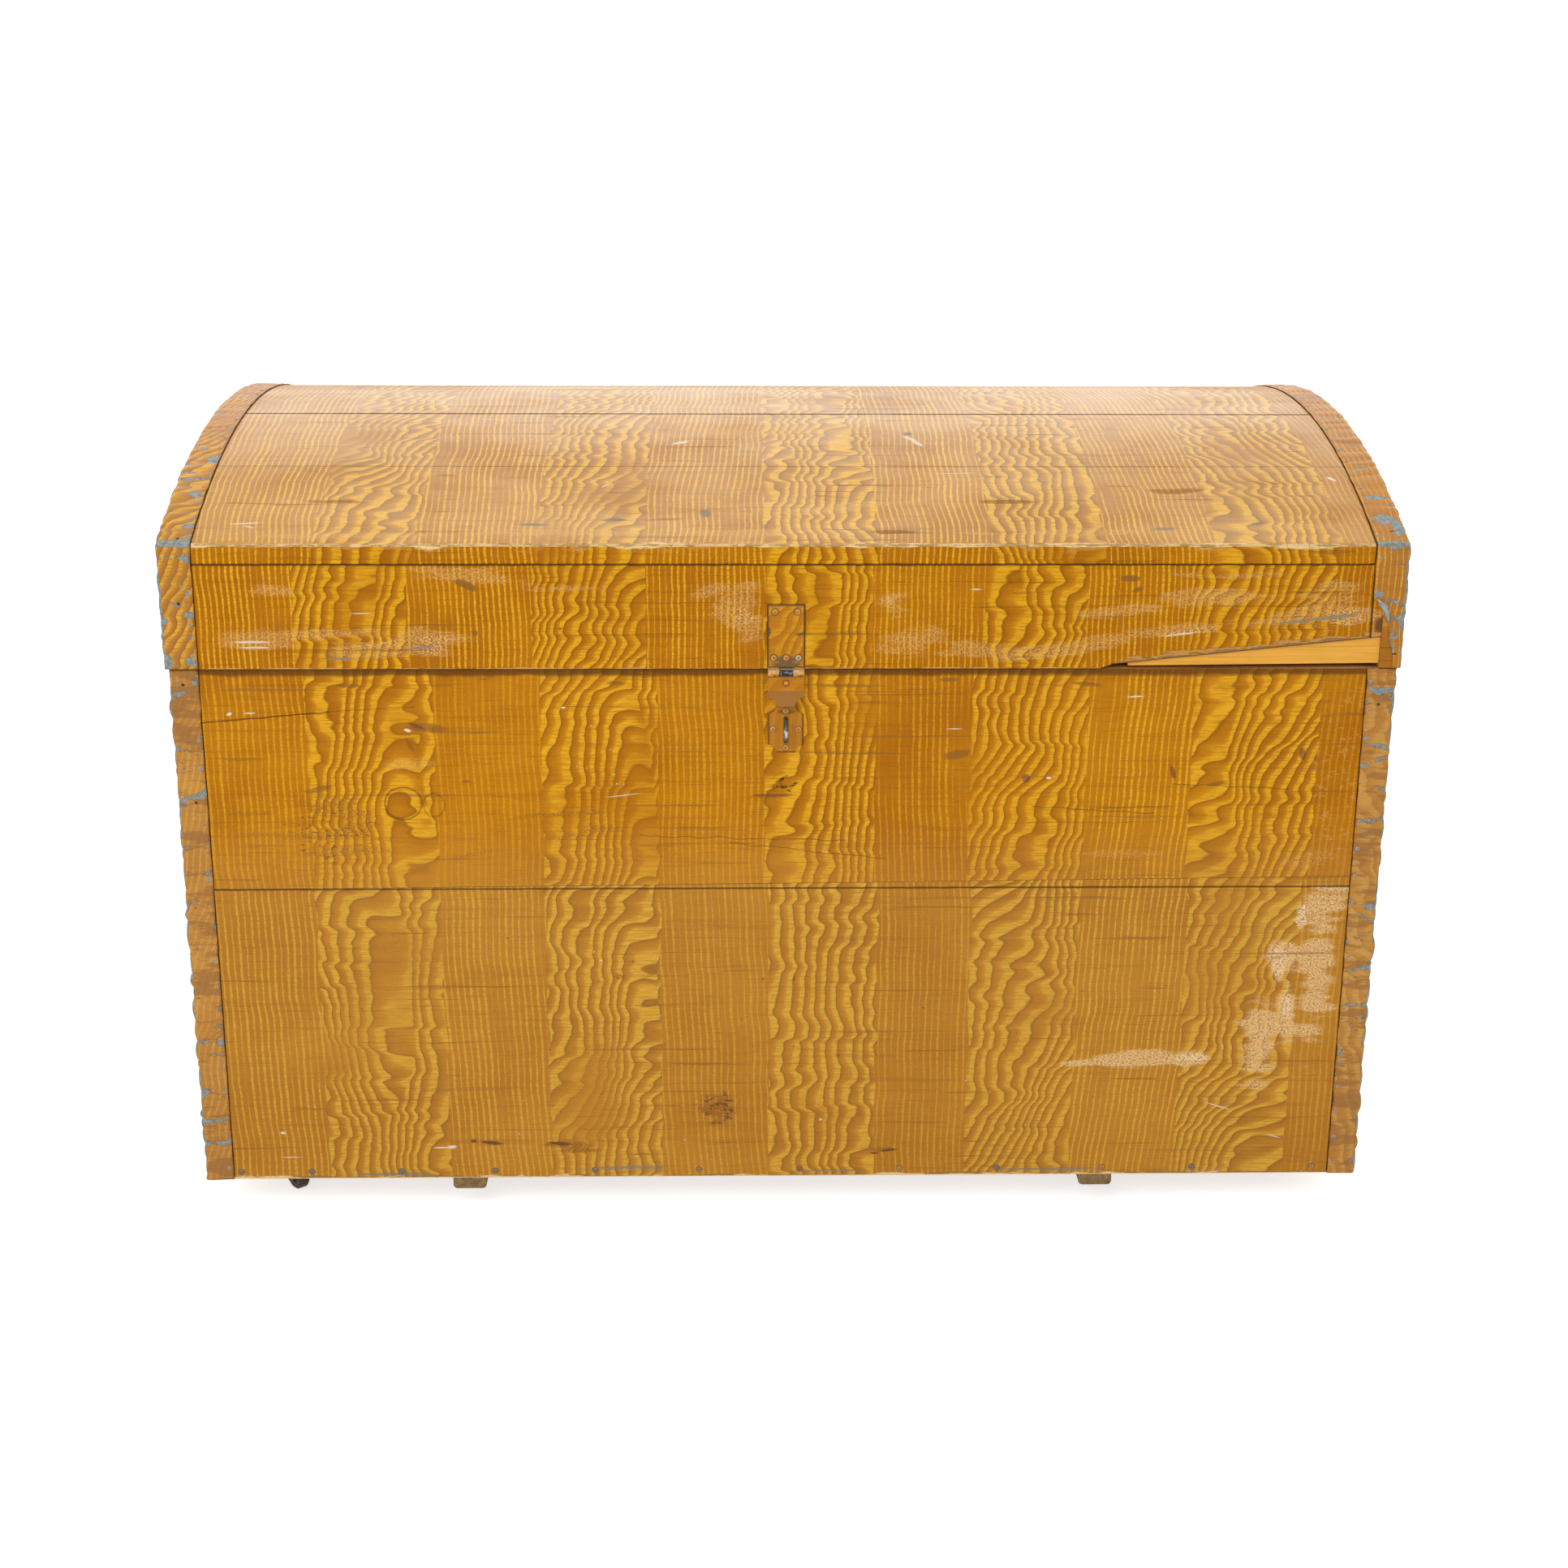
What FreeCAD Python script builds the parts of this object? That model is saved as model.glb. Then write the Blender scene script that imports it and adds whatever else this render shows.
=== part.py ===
import FreeCAD, Part
import math
import os
import re

import Sketcher

# Dome top trunk: a straight-sided box of painted boards on two runners and four small casters, with a
# lid whose dome is made of five planks. Sheet-metal straps cover the corners and the lid's two ends.
# Frame: +X to the trunk's right end as seen from the front, +Y to the back, +Z up, floor at Z 0.

# The driving sizes, in millimetres unless the name says angle, heading or count.
sizes = {
    # the wooden case
    "bodyLength": 1072,          # outside faces of the two end boards
    "bodyDepth": 717,            # outside faces of the front and back boards
    "bodyHeight": 491.4,         # underside of the case to the rim
    "boardThickness": 18,        # front, back and end boards
    "bottomThickness": 16,       # floor boards, held inside the four walls
    "seamGap": 0.4,              # open joint between neighbouring boards
    "frontSeamLeft": 287,        # height of the front joint above the underside, left end
    "frontSeamRight": 297,       # the same joint at the right end, where it runs higher
    "backSeam": 262,
    "endSeam": 275,
    "floorBoardWidth": 225,      # the outer two of the three floor boards
    # the lid
    "lidOverhang": 3,            # past the case at the front and both ends
    "lidGap": 1.4,               # between the rim and the lid
    "lidWall": 110,              # straight wall under the dome
    "domeRise": 72,              # crown above the straight wall
    "plankThickness": 16,
    "outerPlankWidth": 139,      # along the curve, first and last plank
    "innerPlankWidth": 145,      # along the curve, second and fourth plank
    # the split at the lid's lower right corner, and the wedge let in below it
    "splitStart": 285,           # from the middle of the lid to the root of the split
    "splitStep": 10,             # the split leaves the lower edge this far before its root
    "splitRoot": 3.5,            # height of the split where it begins
    "splitHeight": 28,           # height of the split at the end board
    "wedgeRecess": 2,            # wedge behind the face of the lid's front board
    "wedgeTip": 15,              # from the start of the split to the wedge's thin end
    "wedgeDrop": 4,              # wedge above the lower edge at the end board
    "wedgeTipDrop": 2,           # wedge above the lower edge at its thin end
    # sheet-metal straps
    "strapThickness": 0.8,
    "strapClearance": 0.1,       # between a strap and the wood
    "lidStrapWidth": 28,         # on the dome and the lid's front and back
    "lidStrapTurn": 22,          # turned down over the lid's ends
    "cornerStrapWidth": 24,      # on the case's front and back
    "cornerStrapTurn": 26,       # round the corner on the case's ends
    "tearHeight": 57,            # torn part of the right lid strap, above its lower end
    "tearMiddle": 28,
    "tearNotch": 14,
    "tearMiddleWidth": 11,
    "tearNotchWidth": 16,
    "tearWidth": 20,
    # nails
    "nailHeadRadius": 2.4,
    "nailHeadHeight": 0.9,
    "nailShankRadius": 0.9,
    "nailLength": 14,
    "nailInset": 3.6,            # from the strap's inner edge
    "cornerNailPitch": 25,
    "lidNailPitch": 27,
    "nailFirst": 12,             # first nail from a strap's lower end
    "lidEndNailPitch": 62,       # in the part turned over the lid's ends
    "floorNailHeadRadius": 3.1,
    "floorNailLength": 26,
    "floorNailRise": 7,          # above the underside of the case
    # hasp on the lid
    "haspWidth": 31.6,
    "haspPlateHeight": 55.5,
    "haspPlateThickness": 1.5,
    "haspPlateLift": 1.4,        # lower edge of the plate above the lid's lower edge
    "haspKnuckleRadius": 3.5,
    "haspKnuckleDrop": 3.1,      # knuckle axis below the lid's lower edge
    "haspKnuckleReach": 2.7,     # knuckle axis in front of the lid's face
    "haspPinRadius": 1.5,
    "haspBarrelLength": 9.6,     # each of the two outer barrels
    "haspBarrelGap": 0.3,
    "haspLeafLength": 29.5,      # knuckle axis to the broken end
    "haspLeafThickness": 1.5,
    "haspLeafStraight": 13.5,    # knuckle axis to the kick
    "haspLeafKick": 4.2,         # how far the end stands out
    "haspNotchRadius": 8,        # hollow corners of the leaf
    "rivetRadius": 2.6,
    "rivetHeight": 1,
    "rivetDrop": 9.2,            # rivet below the knuckle axis
    # keeper on the case
    "keeperWidth": 31,
    "keeperHeight": 42.5,
    "keeperThickness": 1.4,
    "keeperDrop": 34.6,          # top of the keeper below the lid's lower edge
    "keeperNotchRadius": 7,
    "stapleReach": 17,           # in front of the case
    "stapleHeight": 23,
    "stapleWireRadius": 2,
    "staplePlay": 0.05,          # staple legs in the keeper
    # small screws under the casters; the rivets of the hasp and the keeper are as large, without a slot
    "smallScrewHeadRadius": 2.9,
    "smallScrewHeadHeight": 1.1,
    "smallScrewRadius": 1.2,
    "smallScrewLength": 12,
    "screwPlay": 0.1,            # screw in a plate's hole
    "screwSlotWidth": 0.9,
    "screwSlotDepth": 0.6,
    "haspScrewTop": 5.8,         # upper rivets below the plate's top edge
    "haspScrewSpan": 19.6,
    "haspScrewFoot": 8.6,        # lower rivets above the plate's lower edge
    "haspScrewFootSpan": 21.6,
    "keeperScrewSpan": 22.4,
    "keeperScrewRise": 34,       # between the upper and the lower keeper rivet
    # hinges at the back
    "hingePlace": 330,           # from the middle of the trunk
    "hingeLength": 72,
    "hingeLeafHeight": 34,
    "hingeLeafThickness": 1.8,
    "hingeKnuckleRadius": 3.5,
    "hingeKnuckleStand": 0.3,    # knuckle off the back face
    "hingePinRadius": 1.6,
    "hingePinHead": 2.6,
    "hingePinHeadLength": 1.5,
    "hingeBarrelLength": 24,     # the middle barrel, on the lid's leaf
    "hingeBarrelGap": 0.4,
    "hingeScrewSpan": 50,
    "pinPlay": 0.05,             # pins in their barrels
    "leafPlay": 0.4,             # leaf edge to the other leaf's barrels
    "largeScrewHeadRadius": 3.7,
    "largeScrewHeadHeight": 1.4,
    "largeScrewRadius": 1.6,
    "largeScrewLength": 13,
    # carrying handles on the ends
    "handleHeight": 330,         # pivot above the underside of the case
    "handleSpan": 124,           # between the middles of the two lugs
    "handleDrop": 40,            # pivot to the grip
    "handleRodRadius": 3.5,
    "handleStand": 7.5,          # pivot off the bracket
    "handleBend": 9,
    "handlePlay": 0.1,
    "bracketLength": 178,
    "bracketHeight": 27,
    "bracketThickness": 2,
    "bracketScrewInset": 11,
    "bracketScrewRise": 7,
    "lugWidth": 9,
    "lugRadius": 6,
    # runners
    "runnerPlace": 293,          # from the middle of the trunk
    "runnerWidth": 31,
    "runnerThickness": 11,
    "runnerRound": 4,
    # casters
    "casterHeight": 33,          # floor to the underside of the case
    "casterInsetX": 66,          # king pin in from the case's ends
    "casterInsetY": 58,          # king pin in from the case's front and back
    "casterPlateSize": 40,
    "casterPlateThickness": 2,
    "casterPlateHole": 14,       # screw holes from the plate's middle
    "casterTrail": 13,
    "wheelRadius": 12.5,
    "wheelWidth": 11,
    "wheelChamfer": 1.6,
    "wheelPlay": 0.7,            # wheel to each cheek
    "axleRadius": 2,
    "axleHead": 0.8,             # axle past each cheek
    "cheekThickness": 1.8,
    "cheekBoss": 5,
    "cheekTopFront": 8,          # cheek's top edge in front of the king pin
    "cheekTopBack": 6,
    "crownRadius": 10,
    "crownThickness": 2,
    "crownGap": 0.4,             # plate to crown
    "kingPinRadius": 3,
    "kingPinHeadRadius": 4.6,
    "kingPinHeadThickness": 1,
    "kingPinGap": 0.3,           # crown to the king pin's head
    "frontLeftHeading": 40,      # angles: wheel from its king pin, from the front round to the right
    "frontRightHeading": 162,
    "backLeftHeading": 205,
    "backRightHeading": 118,
    # cutting tools run past what they cut by this much
    "overrun": 5,
}

# Nail rows whose spacing follows the photo: shares of the distance from the middle to the case's end
floorNailShares = (-0.942, -0.82, -0.664, -0.502, -0.328, -0.147, 0.028, 0.203, 0.373, 0.558, 0.716, 0.927)
sideNailShares = (-0.88, -0.62, -0.3, 0.05, 0.34, 0.66, 0.88)

doc = FreeCAD.newDocument("DomeTopTrunk")
sheet = doc.addObject("Spreadsheet::Sheet", "Sizes")
for row, (alias, value) in enumerate(sizes.items(), start=1):
    sheet.set("A%d" % row, alias)
    sheet.set("B%d" % row, str(value))
    sheet.setAlias("B%d" % row, alias)
doc.recompute()

# Places that several pieces share, each worked out from the sheet by its own formula
places = doc.addObject("App::VarSet", "Places")
placeNames = []


def cells(formula):
    # point each plain name in a formula at the sheet or at the shared places
    def point(match):
        name = match.group()
        if name in sizes:
            return "Sizes." + name
        if name in placeNames:
            return "Places." + name
        return name
    return re.sub(r"[A-Za-z]\w*", point, str(formula))


def tie(item, **formulas):
    for name, formula in formulas.items():
        item.setExpression(name, cells(formula))


def place(name, formula):
    places.addProperty("App::PropertyFloat", name, "Places", "")
    places.setExpression(name, cells(formula))
    placeNames.append(name)


place("strapReach", "strapClearance + strapThickness")
place("hingeReach", "hingeKnuckleStand + 2 * hingeKnuckleRadius")
place("frontFace", "(stapleReach - hingeReach - bodyDepth) / 2")
place("backFace", "frontFace + bodyDepth")
place("halfBody", "bodyLength / 2")
place("halfInside", "halfBody - boardThickness")
place("underside", "casterHeight")
place("rim", "underside + bodyHeight")
place("middle", "(frontFace + backFace) / 2")
place("lidFront", "frontFace - lidOverhang")
place("halfLid", "halfBody + lidOverhang")
place("halfLidInside", "halfLid - boardThickness")
place("lidDepth", "backFace - lidFront")
place("lidBottom", "rim + lidGap")
place("lidEdge", "lidBottom + lidWall")
place("domeRadius", "(domeRise * domeRise + lidDepth * lidDepth / 4) / (2 * domeRise)")
place("domeMiddle", "lidFront + lidDepth / 2")
place("domeCentre", "lidEdge + domeRise - domeRadius")
place("domeHalfAngle", "asin(lidDepth / 2 / domeRadius) / 1deg")
place("haspAxisHeight", "lidBottom - haspKnuckleDrop")
place("haspAxisFront", "lidFront - haspKnuckleReach")
place("haspPlateBottom", "lidBottom + haspPlateLift")
place("keeperTop", "lidBottom - keeperDrop")
place("keeperMiddle", "keeperTop - keeperHeight / 2")
place("hingeAxisHeight", "rim + lidGap / 2")
place("hingeAxisBack", "backFace + hingeKnuckleStand + hingeKnuckleRadius")
place("hingeLeafEdge", "hingeKnuckleRadius + leafPlay")
place("handleAxis", "underside + handleHeight")
place("handleAxisOut", "halfBody + bracketThickness + handleStand")
place("crownTop", "casterHeight - casterPlateThickness - crownGap")
doc.recompute()

kept = {}


def keep(label, item):
    item.Label = label
    kept[label] = item
    return item


def at(formula):
    # sizes and shared places worked out as a number, for the pieces made in code
    return float(places.evalExpression(cells(formula)))


def new(kind, name):
    return doc.addObject(kind, name)


def box(name, x, y, z):
    # a board or block between two places along each axis
    item = new("Part::Box", name)
    tie(item, Length="(%s) - (%s)" % (x[1], x[0]),
        Width="(%s) - (%s)" % (y[1], y[0]),
        Height="(%s) - (%s)" % (z[1], z[0]))
    item.setExpression("Placement.Base.x", cells(x[0]))
    item.setExpression("Placement.Base.y", cells(y[0]))
    item.setExpression("Placement.Base.z", cells(z[0]))
    return item


turns = {
    "z": FreeCAD.Rotation(),
    "x": FreeCAD.Rotation(FreeCAD.Vector(1, 1, 1), 120),
    "y": FreeCAD.Rotation(FreeCAD.Vector(1, 1, 1), 240),
}


def rod(name, axis, radius, start, length, sweep=None):
    # a cylinder from a start point along x, y or z; a sweep makes it a sector
    item = new("Part::Cylinder", name)
    tie(item, Radius=radius, Height=length)
    if sweep:
        tie(item, Angle=sweep)
    item.Placement = FreeCAD.Placement(FreeCAD.Vector(), turns[axis])
    item.setExpression("Placement.Base.x", cells(start[0]))
    item.setExpression("Placement.Base.y", cells(start[1]))
    item.setExpression("Placement.Base.z", cells(start[2]))
    return item


def join(name, pieces):
    item = new("Part::MultiFuse", name)
    item.Shapes = pieces
    item.Refine = True
    return item


def overlap(name, pieces):
    item = new("Part::MultiCommon", name)
    item.Shapes = pieces
    return item


def cut(name, base, tools):
    item = new("Part::Cut", name)
    item.Base = base
    item.Tool = tools[0] if len(tools) == 1 else join(name + "Tools", tools)
    return item


def group(name, pieces):
    item = new("Part::Compound", name)
    item.Links = pieces
    return item


def originPlane(body, role):
    return [f for f in body.Origin.OriginFeatures if f.Role == role][0]


def outlineBody(name, plane, points):
    # a body with one closed sketch, each corner held by its two distances from the origin
    body = new("PartDesign::Body", name)
    sketch = body.newObject("Sketcher::SketchObject", name + "Outline")
    sketch.AttachmentSupport = [(originPlane(body, plane), "")]
    sketch.MapMode = "FlatFace"
    count = len(points)
    start = [FreeCAD.Vector(math.cos(math.tau * i / count), math.sin(math.tau * i / count), 0)
             for i in range(count)]
    for i in range(count):
        sketch.addGeometry(Part.LineSegment(start[i], start[(i + 1) % count]), False)
    for i in range(count):
        sketch.addConstraint(Sketcher.Constraint("Coincident", i, 2, (i + 1) % count, 1))
    for i, (across, up) in enumerate(points):
        for kind, letter, formula in (("DistanceX", "x", across), ("DistanceY", "y", up)):
            label = "corner%d%s" % (i, letter)
            number = sketch.addConstraint(Sketcher.Constraint(kind, -1, 1, i, 1, i + 1.0))
            sketch.renameConstraint(number, label)
            sketch.setExpression("Constraints." + label, cells(formula))
    return body, sketch


def slab(name, plane, points, length, back=False):
    # a pad of an outline: along +X from the YZ plane, and from XZ along -Y, or along +Y with back set
    body, sketch = outlineBody(name, plane, points)
    pad = body.newObject("PartDesign::Pad", name + "Pad")
    pad.Profile = sketch
    pad.Reversed = back
    tie(pad, Length=length)
    body.Tip = pad
    return body


def shift(item, x, y, z):
    item.setExpression("Placement.Base.x", cells(x))
    item.setExpression("Placement.Base.y", cells(y))
    item.setExpression("Placement.Base.z", cells(z))
    return item


def span(side, near, far):
    # a stretch along X, given for the right side and mirrored for the left
    if side == "right":
        return near, far
    return "-(%s)" % far, "-(%s)" % near


def depthSpan(side, out, inward):
    # a stretch along Y, from so far outside the front or back face to so far inside it
    if side == "front":
        return "frontFace - (%s)" % out, "frontFace + (%s)" % inward
    return "backFace - (%s)" % inward, "backFace + (%s)" % out


sides = ("left", "right")
faces = ("front", "back")

# The case: each wall is two boards high

for side in sides:
    thick = span(side, "halfInside", "halfBody")
    deep = ("frontFace", "backFace")
    keep(side + "_end_lower_board",
         box("EndLower", thick, deep, ("underside", "underside + endSeam - seamGap / 2")))
    keep(side + "_end_upper_board",
         box("EndUpper", thick, deep, ("underside + endSeam + seamGap / 2", "rim")))

wallHalf = "halfInside - seamGap"
frontLower = slab("FrontLower", "XZ_Plane",
                  [("-(%s)" % wallHalf, "0"), (wallHalf, "0"),
                   (wallHalf, "frontSeamRight - seamGap / 2"),
                   ("-(%s)" % wallHalf, "frontSeamLeft - seamGap / 2")],
                  "boardThickness", back=True)
keep("front_lower_board", shift(frontLower, "0", "frontFace", "underside"))
frontUpper = slab("FrontUpper", "XZ_Plane",
                  [("-(%s)" % wallHalf, "frontSeamLeft + seamGap / 2"),
                   (wallHalf, "frontSeamRight + seamGap / 2"),
                   (wallHalf, "bodyHeight"), ("-(%s)" % wallHalf, "bodyHeight")],
                  "boardThickness", back=True)
keep("front_upper_board", shift(frontUpper, "0", "frontFace", "underside"))

wallLong = ("-(%s)" % wallHalf, wallHalf)
wallBack = ("backFace - boardThickness", "backFace")
keep("back_lower_board", box("BackLower", wallLong, wallBack, ("underside", "underside + backSeam - seamGap / 2")))
keep("back_upper_board", box("BackUpper", wallLong, wallBack, ("underside + backSeam + seamGap / 2", "rim")))

floorFront = "frontFace + boardThickness + seamGap"
floorBack = "backFace - boardThickness - seamGap"
floorHigh = ("underside", "underside + bottomThickness")
keep("floor_board_front", box("FloorFront", wallLong, (floorFront, floorFront + " + floorBoardWidth"), floorHigh))
keep("floor_board_middle", box("FloorMiddle", wallLong,
                               (floorFront + " + floorBoardWidth + seamGap",
                                floorBack + " - floorBoardWidth - seamGap"), floorHigh))
keep("floor_board_back", box("FloorBack", wallLong, (floorBack + " - floorBoardWidth", floorBack), floorHigh))

# Angle straps on the case's four upright corners

for face in faces:
    for side in sides:
        metal = box("CornerMetal", span(side, "halfBody - cornerStrapWidth", "halfBody + strapReach"),
                    depthSpan(face, "strapReach", "cornerStrapTurn"), ("underside", "rim"))
        wood = box("CornerWood", span(side, "halfBody - cornerStrapWidth - overrun", "halfBody + strapClearance"),
                   depthSpan(face, "strapClearance", "cornerStrapTurn + overrun"),
                   ("underside - overrun", "rim + overrun"))
        keep("%s_%s_corner_strap" % (face, side), cut("CornerStrap", metal, [wood]))

# Runners under the case, front to back, with their lower edges rounded

runnerFoot = "underside - runnerThickness"
for side in sides:
    x0 = "runnerPlace" if side == "right" else "-runnerPlace"
    deep = ("frontFace", "backFace")
    pieces = [box("Runner", (x0 + " - runnerWidth / 2", x0 + " + runnerWidth / 2"), deep,
                  (runnerFoot + " + runnerRound", "underside")),
              box("RunnerSole", (x0 + " - runnerWidth / 2 + runnerRound", x0 + " + runnerWidth / 2 - runnerRound"),
                  deep, (runnerFoot, "underside"))]
    for edge in ("- runnerWidth / 2 + runnerRound", "+ runnerWidth / 2 - runnerRound"):
        pieces.append(rod("RunnerEdge", "y", "runnerRound",
                          (x0 + " " + edge, "frontFace", runnerFoot + " + runnerRound"), "bodyDepth"))
    keep(side + "_runner", join("RunnerWhole", pieces))

# The lid: end boards cut to the curve, front and back boards between them, planks over all four

domeTop = "lidEdge + domeRise + overrun"
underPlanks = "-plankThickness - seamGap"


def domeRod(name, x, grow):
    return rod(name, "x", "domeRadius + (%s)" % grow, (x[0], "domeMiddle", "domeCentre"),
               "(%s) - (%s)" % (x[1], x[0]))


def lidOutline(name, x, grow, growRound, foot="lidBottom"):
    # a slice of the lid's side view, grown past its straight sides and past its curve
    block = box(name + "Block", x, ("lidFront - (%s)" % grow, "backFace + (%s)" % grow), (foot, domeTop))
    return overlap(name, [block, domeRod(name + "Curve", x, growRound)])


for side in sides:
    keep("lid_%s_end_board" % side,
         lidOutline("LidEnd", span(side, "halfLidInside", "halfLid"), "0", underPlanks))

lidHalf = "halfLidInside - seamGap"
lidLong = ("-(%s)" % lidHalf, lidHalf)
frontWall = slab("LidFrontWall", "XZ_Plane",
                 [("-(%s)" % lidHalf, "0"), ("splitStart - splitStep", "0"), ("splitStart", "splitRoot"),
                  (lidHalf, "splitHeight"), (lidHalf, "lidWall + domeRise"), ("-(%s)" % lidHalf, "lidWall + domeRise")],
                 "boardThickness", back=True)
shift(frontWall, "0", "lidFront", "lidBottom")
keep("lid_front_board", overlap("LidFront", [frontWall, domeRod("LidFrontCurve", lidLong, underPlanks)]))
backWall = box("LidBackWall", lidLong, ("backFace - boardThickness", "backFace"), ("lidBottom", domeTop))
keep("lid_back_board", overlap("LidBack", [backWall, domeRod("LidBackCurve", lidLong, underPlanks)]))

splitSlope = "(splitHeight - splitRoot) / (%s - splitStart)" % lidHalf
wedge = slab("Wedge", "XZ_Plane",
             [("splitStart + wedgeTip", "wedgeTipDrop"), (lidHalf, "wedgeDrop"),
              (lidHalf, "splitHeight - seamGap"),
              ("splitStart + wedgeTip", "splitRoot + wedgeTip * %s - seamGap" % splitSlope)],
             "boardThickness - wedgeRecess", back=True)
keep("repair_wedge", shift(wedge, "0", "lidFront + wedgeRecess", "lidBottom"))


def plank(label, near, far):
    # a stretch of the dome from near to far, both measured along the curve from the front edge
    angle = "90 + domeHalfAngle - (%s) / domeRadius * 180 / pi"
    length = "2 * halfLid"
    start = ("-halfLid", "domeMiddle", "domeCentre")
    whole = rod("Plank", "x", "domeRadius", start, length, angle % near)
    behind = rod("PlankBehind", "x", "domeRadius + overrun", start, length, angle % (far + " - seamGap"))
    hollow = rod("PlankHollow", "x", "domeRadius - plankThickness", start, length)
    curved = cut("PlankCurve", whole, [behind, hollow])
    trim = box("PlankTrim", ("-halfLid", "halfLid"), ("lidFront", "backFace"), ("lidBottom", domeTop))
    return keep(label, overlap("PlankTrimmed", [curved, trim]))


arc = "2 * domeHalfAngle * pi / 180 * domeRadius"
plank("dome_plank_front", "-plankThickness", "outerPlankWidth")
plank("dome_plank_front_inner", "outerPlankWidth", "outerPlankWidth + innerPlankWidth")
plank("dome_plank_top", "outerPlankWidth + innerPlankWidth", arc + " - outerPlankWidth - innerPlankWidth")
plank("dome_plank_back_inner", arc + " - outerPlankWidth - innerPlankWidth", arc + " - outerPlankWidth")
plank("dome_plank_back", arc + " - outerPlankWidth", arc + " + plankThickness")

# Straps over the lid's ends: up the front, over the dome, down the back, and turned over the end

for side in sides:
    inner = "halfLid - lidStrapWidth"
    metal = lidOutline("StrapMetal", span(side, inner, "halfLid + strapReach"), "strapReach", "strapReach")
    wood = lidOutline("StrapWood", span(side, inner + " - overrun", "halfLid + strapClearance"),
                      "strapClearance", "strapClearance", "lidBottom - overrun")
    bare = lidOutline("StrapBare", span(side, "halfLid", "halfLid + strapReach + overrun"),
                      "-lidStrapTurn", "-lidStrapTurn", "lidBottom - overrun")
    tools = [wood, bare]
    if side == "right":
        tear = slab("StrapTear", "XZ_Plane",
                    [(inner + " - overrun", "-overrun"), (inner + " + tearWidth", "-overrun"),
                     (inner + " + tearNotchWidth", "tearNotch"), (inner + " + tearMiddleWidth", "tearMiddle"),
                     (inner, "tearHeight"), (inner + " - overrun", "tearHeight")], "strapReach + overrun", back=True)
        tools.append(shift(tear, "0", "lidFront - strapReach - overrun / 2", "lidBottom"))
    keep("lid_%s_strap" % side, cut("LidStrap", metal, tools))

# Hasp on the lid, with its leaf broken off short


def screwHoles(spots, axisPlace, depth, radius):
    return [rod("ScrewHole", "y", radius + " + screwPlay", (x, axisPlace, z), depth) for x, z in spots]


haspHalf = "haspWidth / 2"
haspPlateTop = "haspPlateBottom + haspPlateHeight"
haspSpots = [("-haspScrewSpan / 2", haspPlateTop + " - haspScrewTop"),
             ("haspScrewSpan / 2", haspPlateTop + " - haspScrewTop"),
             ("-haspScrewFootSpan / 2", "haspPlateBottom + haspScrewFoot"),
             ("0", "haspPlateBottom + haspScrewFoot"),
             ("haspScrewFootSpan / 2", "haspPlateBottom + haspScrewFoot")]
haspDeep = ("lidFront - haspPlateThickness", "lidFront")
haspPieces = [box("HaspPlate", ("-" + haspHalf, haspHalf), haspDeep, ("haspPlateBottom", haspPlateTop))]
for side in sides:
    tab = span(side, haspHalf + " - haspBarrelLength", haspHalf)
    haspPieces.append(box("HaspTab", tab, haspDeep, ("haspAxisHeight", "haspPlateBottom + haspPlateThickness")))
    haspPieces.append(rod("HaspBarrel", "x", "haspKnuckleRadius", (tab[0], "haspAxisFront", "haspAxisHeight"),
                          "haspBarrelLength"))
haspBore = rod("HaspBore", "x", "haspPinRadius + pinPlay",
               ("-%s - overrun" % haspHalf, "haspAxisFront", "haspAxisHeight"), "haspWidth + 2 * overrun")
haspHoles = screwHoles(haspSpots, "lidFront - haspPlateThickness - overrun", "haspPlateThickness + 2 * overrun",
                       "smallScrewRadius")
keep("hasp_plate", cut("HaspPlateCut", join("HaspPlateWhole", haspPieces), [haspBore] + haspHoles))
keep("hasp_pin", rod("HaspPin", "x", "haspPinRadius", ("-" + haspHalf, "haspAxisFront", "haspAxisHeight"),
                     "haspWidth"))

leafHalf = "haspLeafThickness / 2"
leaf = slab("HaspLeaf", "YZ_Plane",
            [(leafHalf, "0"), ("-" + leafHalf, "0"), ("-" + leafHalf, "-haspLeafStraight"),
             ("-%s - haspLeafKick" % leafHalf, "-haspLeafLength"),
             (leafHalf + " - haspLeafKick", "-haspLeafLength"), (leafHalf, "-haspLeafStraight")], "haspWidth")
shift(leaf, "-" + haspHalf, "haspAxisFront", "haspAxisHeight")
middleBarrel = "haspWidth / 2 - haspBarrelLength - haspBarrelGap"
knuckle = rod("LeafBarrel", "x", "haspKnuckleRadius", ("-(%s)" % middleBarrel, "haspAxisFront", "haspAxisHeight"),
              "2 * (%s)" % middleBarrel)
rivet = rod("LeafRivet", "y", "rivetRadius",
            ("0", "haspAxisFront - %s - rivetHeight" % leafHalf, "haspAxisHeight - rivetDrop"),
            "rivetHeight + haspLeafThickness")
leafTools = [haspBore]
for side in sides:
    leafTools.append(box("LeafRelief", span(side, middleBarrel, haspHalf + " + overrun"),
                         ("haspAxisFront - overrun", "haspAxisFront + overrun"),
                         ("haspAxisHeight - haspKnuckleRadius - haspBarrelGap", "haspAxisHeight + overrun")))
    corner = haspHalf if side == "right" else "-" + haspHalf
    leafTools.append(rod("LeafNotch", "y", "haspNotchRadius",
                         (corner, "haspAxisFront - haspLeafKick - overrun", "haspAxisHeight - haspLeafLength"),
                         "haspLeafKick + 2 * overrun"))
leafPlate = cut("LeafShaped", leaf, leafTools[1:])
keep("hasp_leaf", cut("LeafBored", join("LeafWhole", [leafPlate, knuckle, rivet]), [leafTools[0]]))

# Keeper and staple on the case

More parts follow.
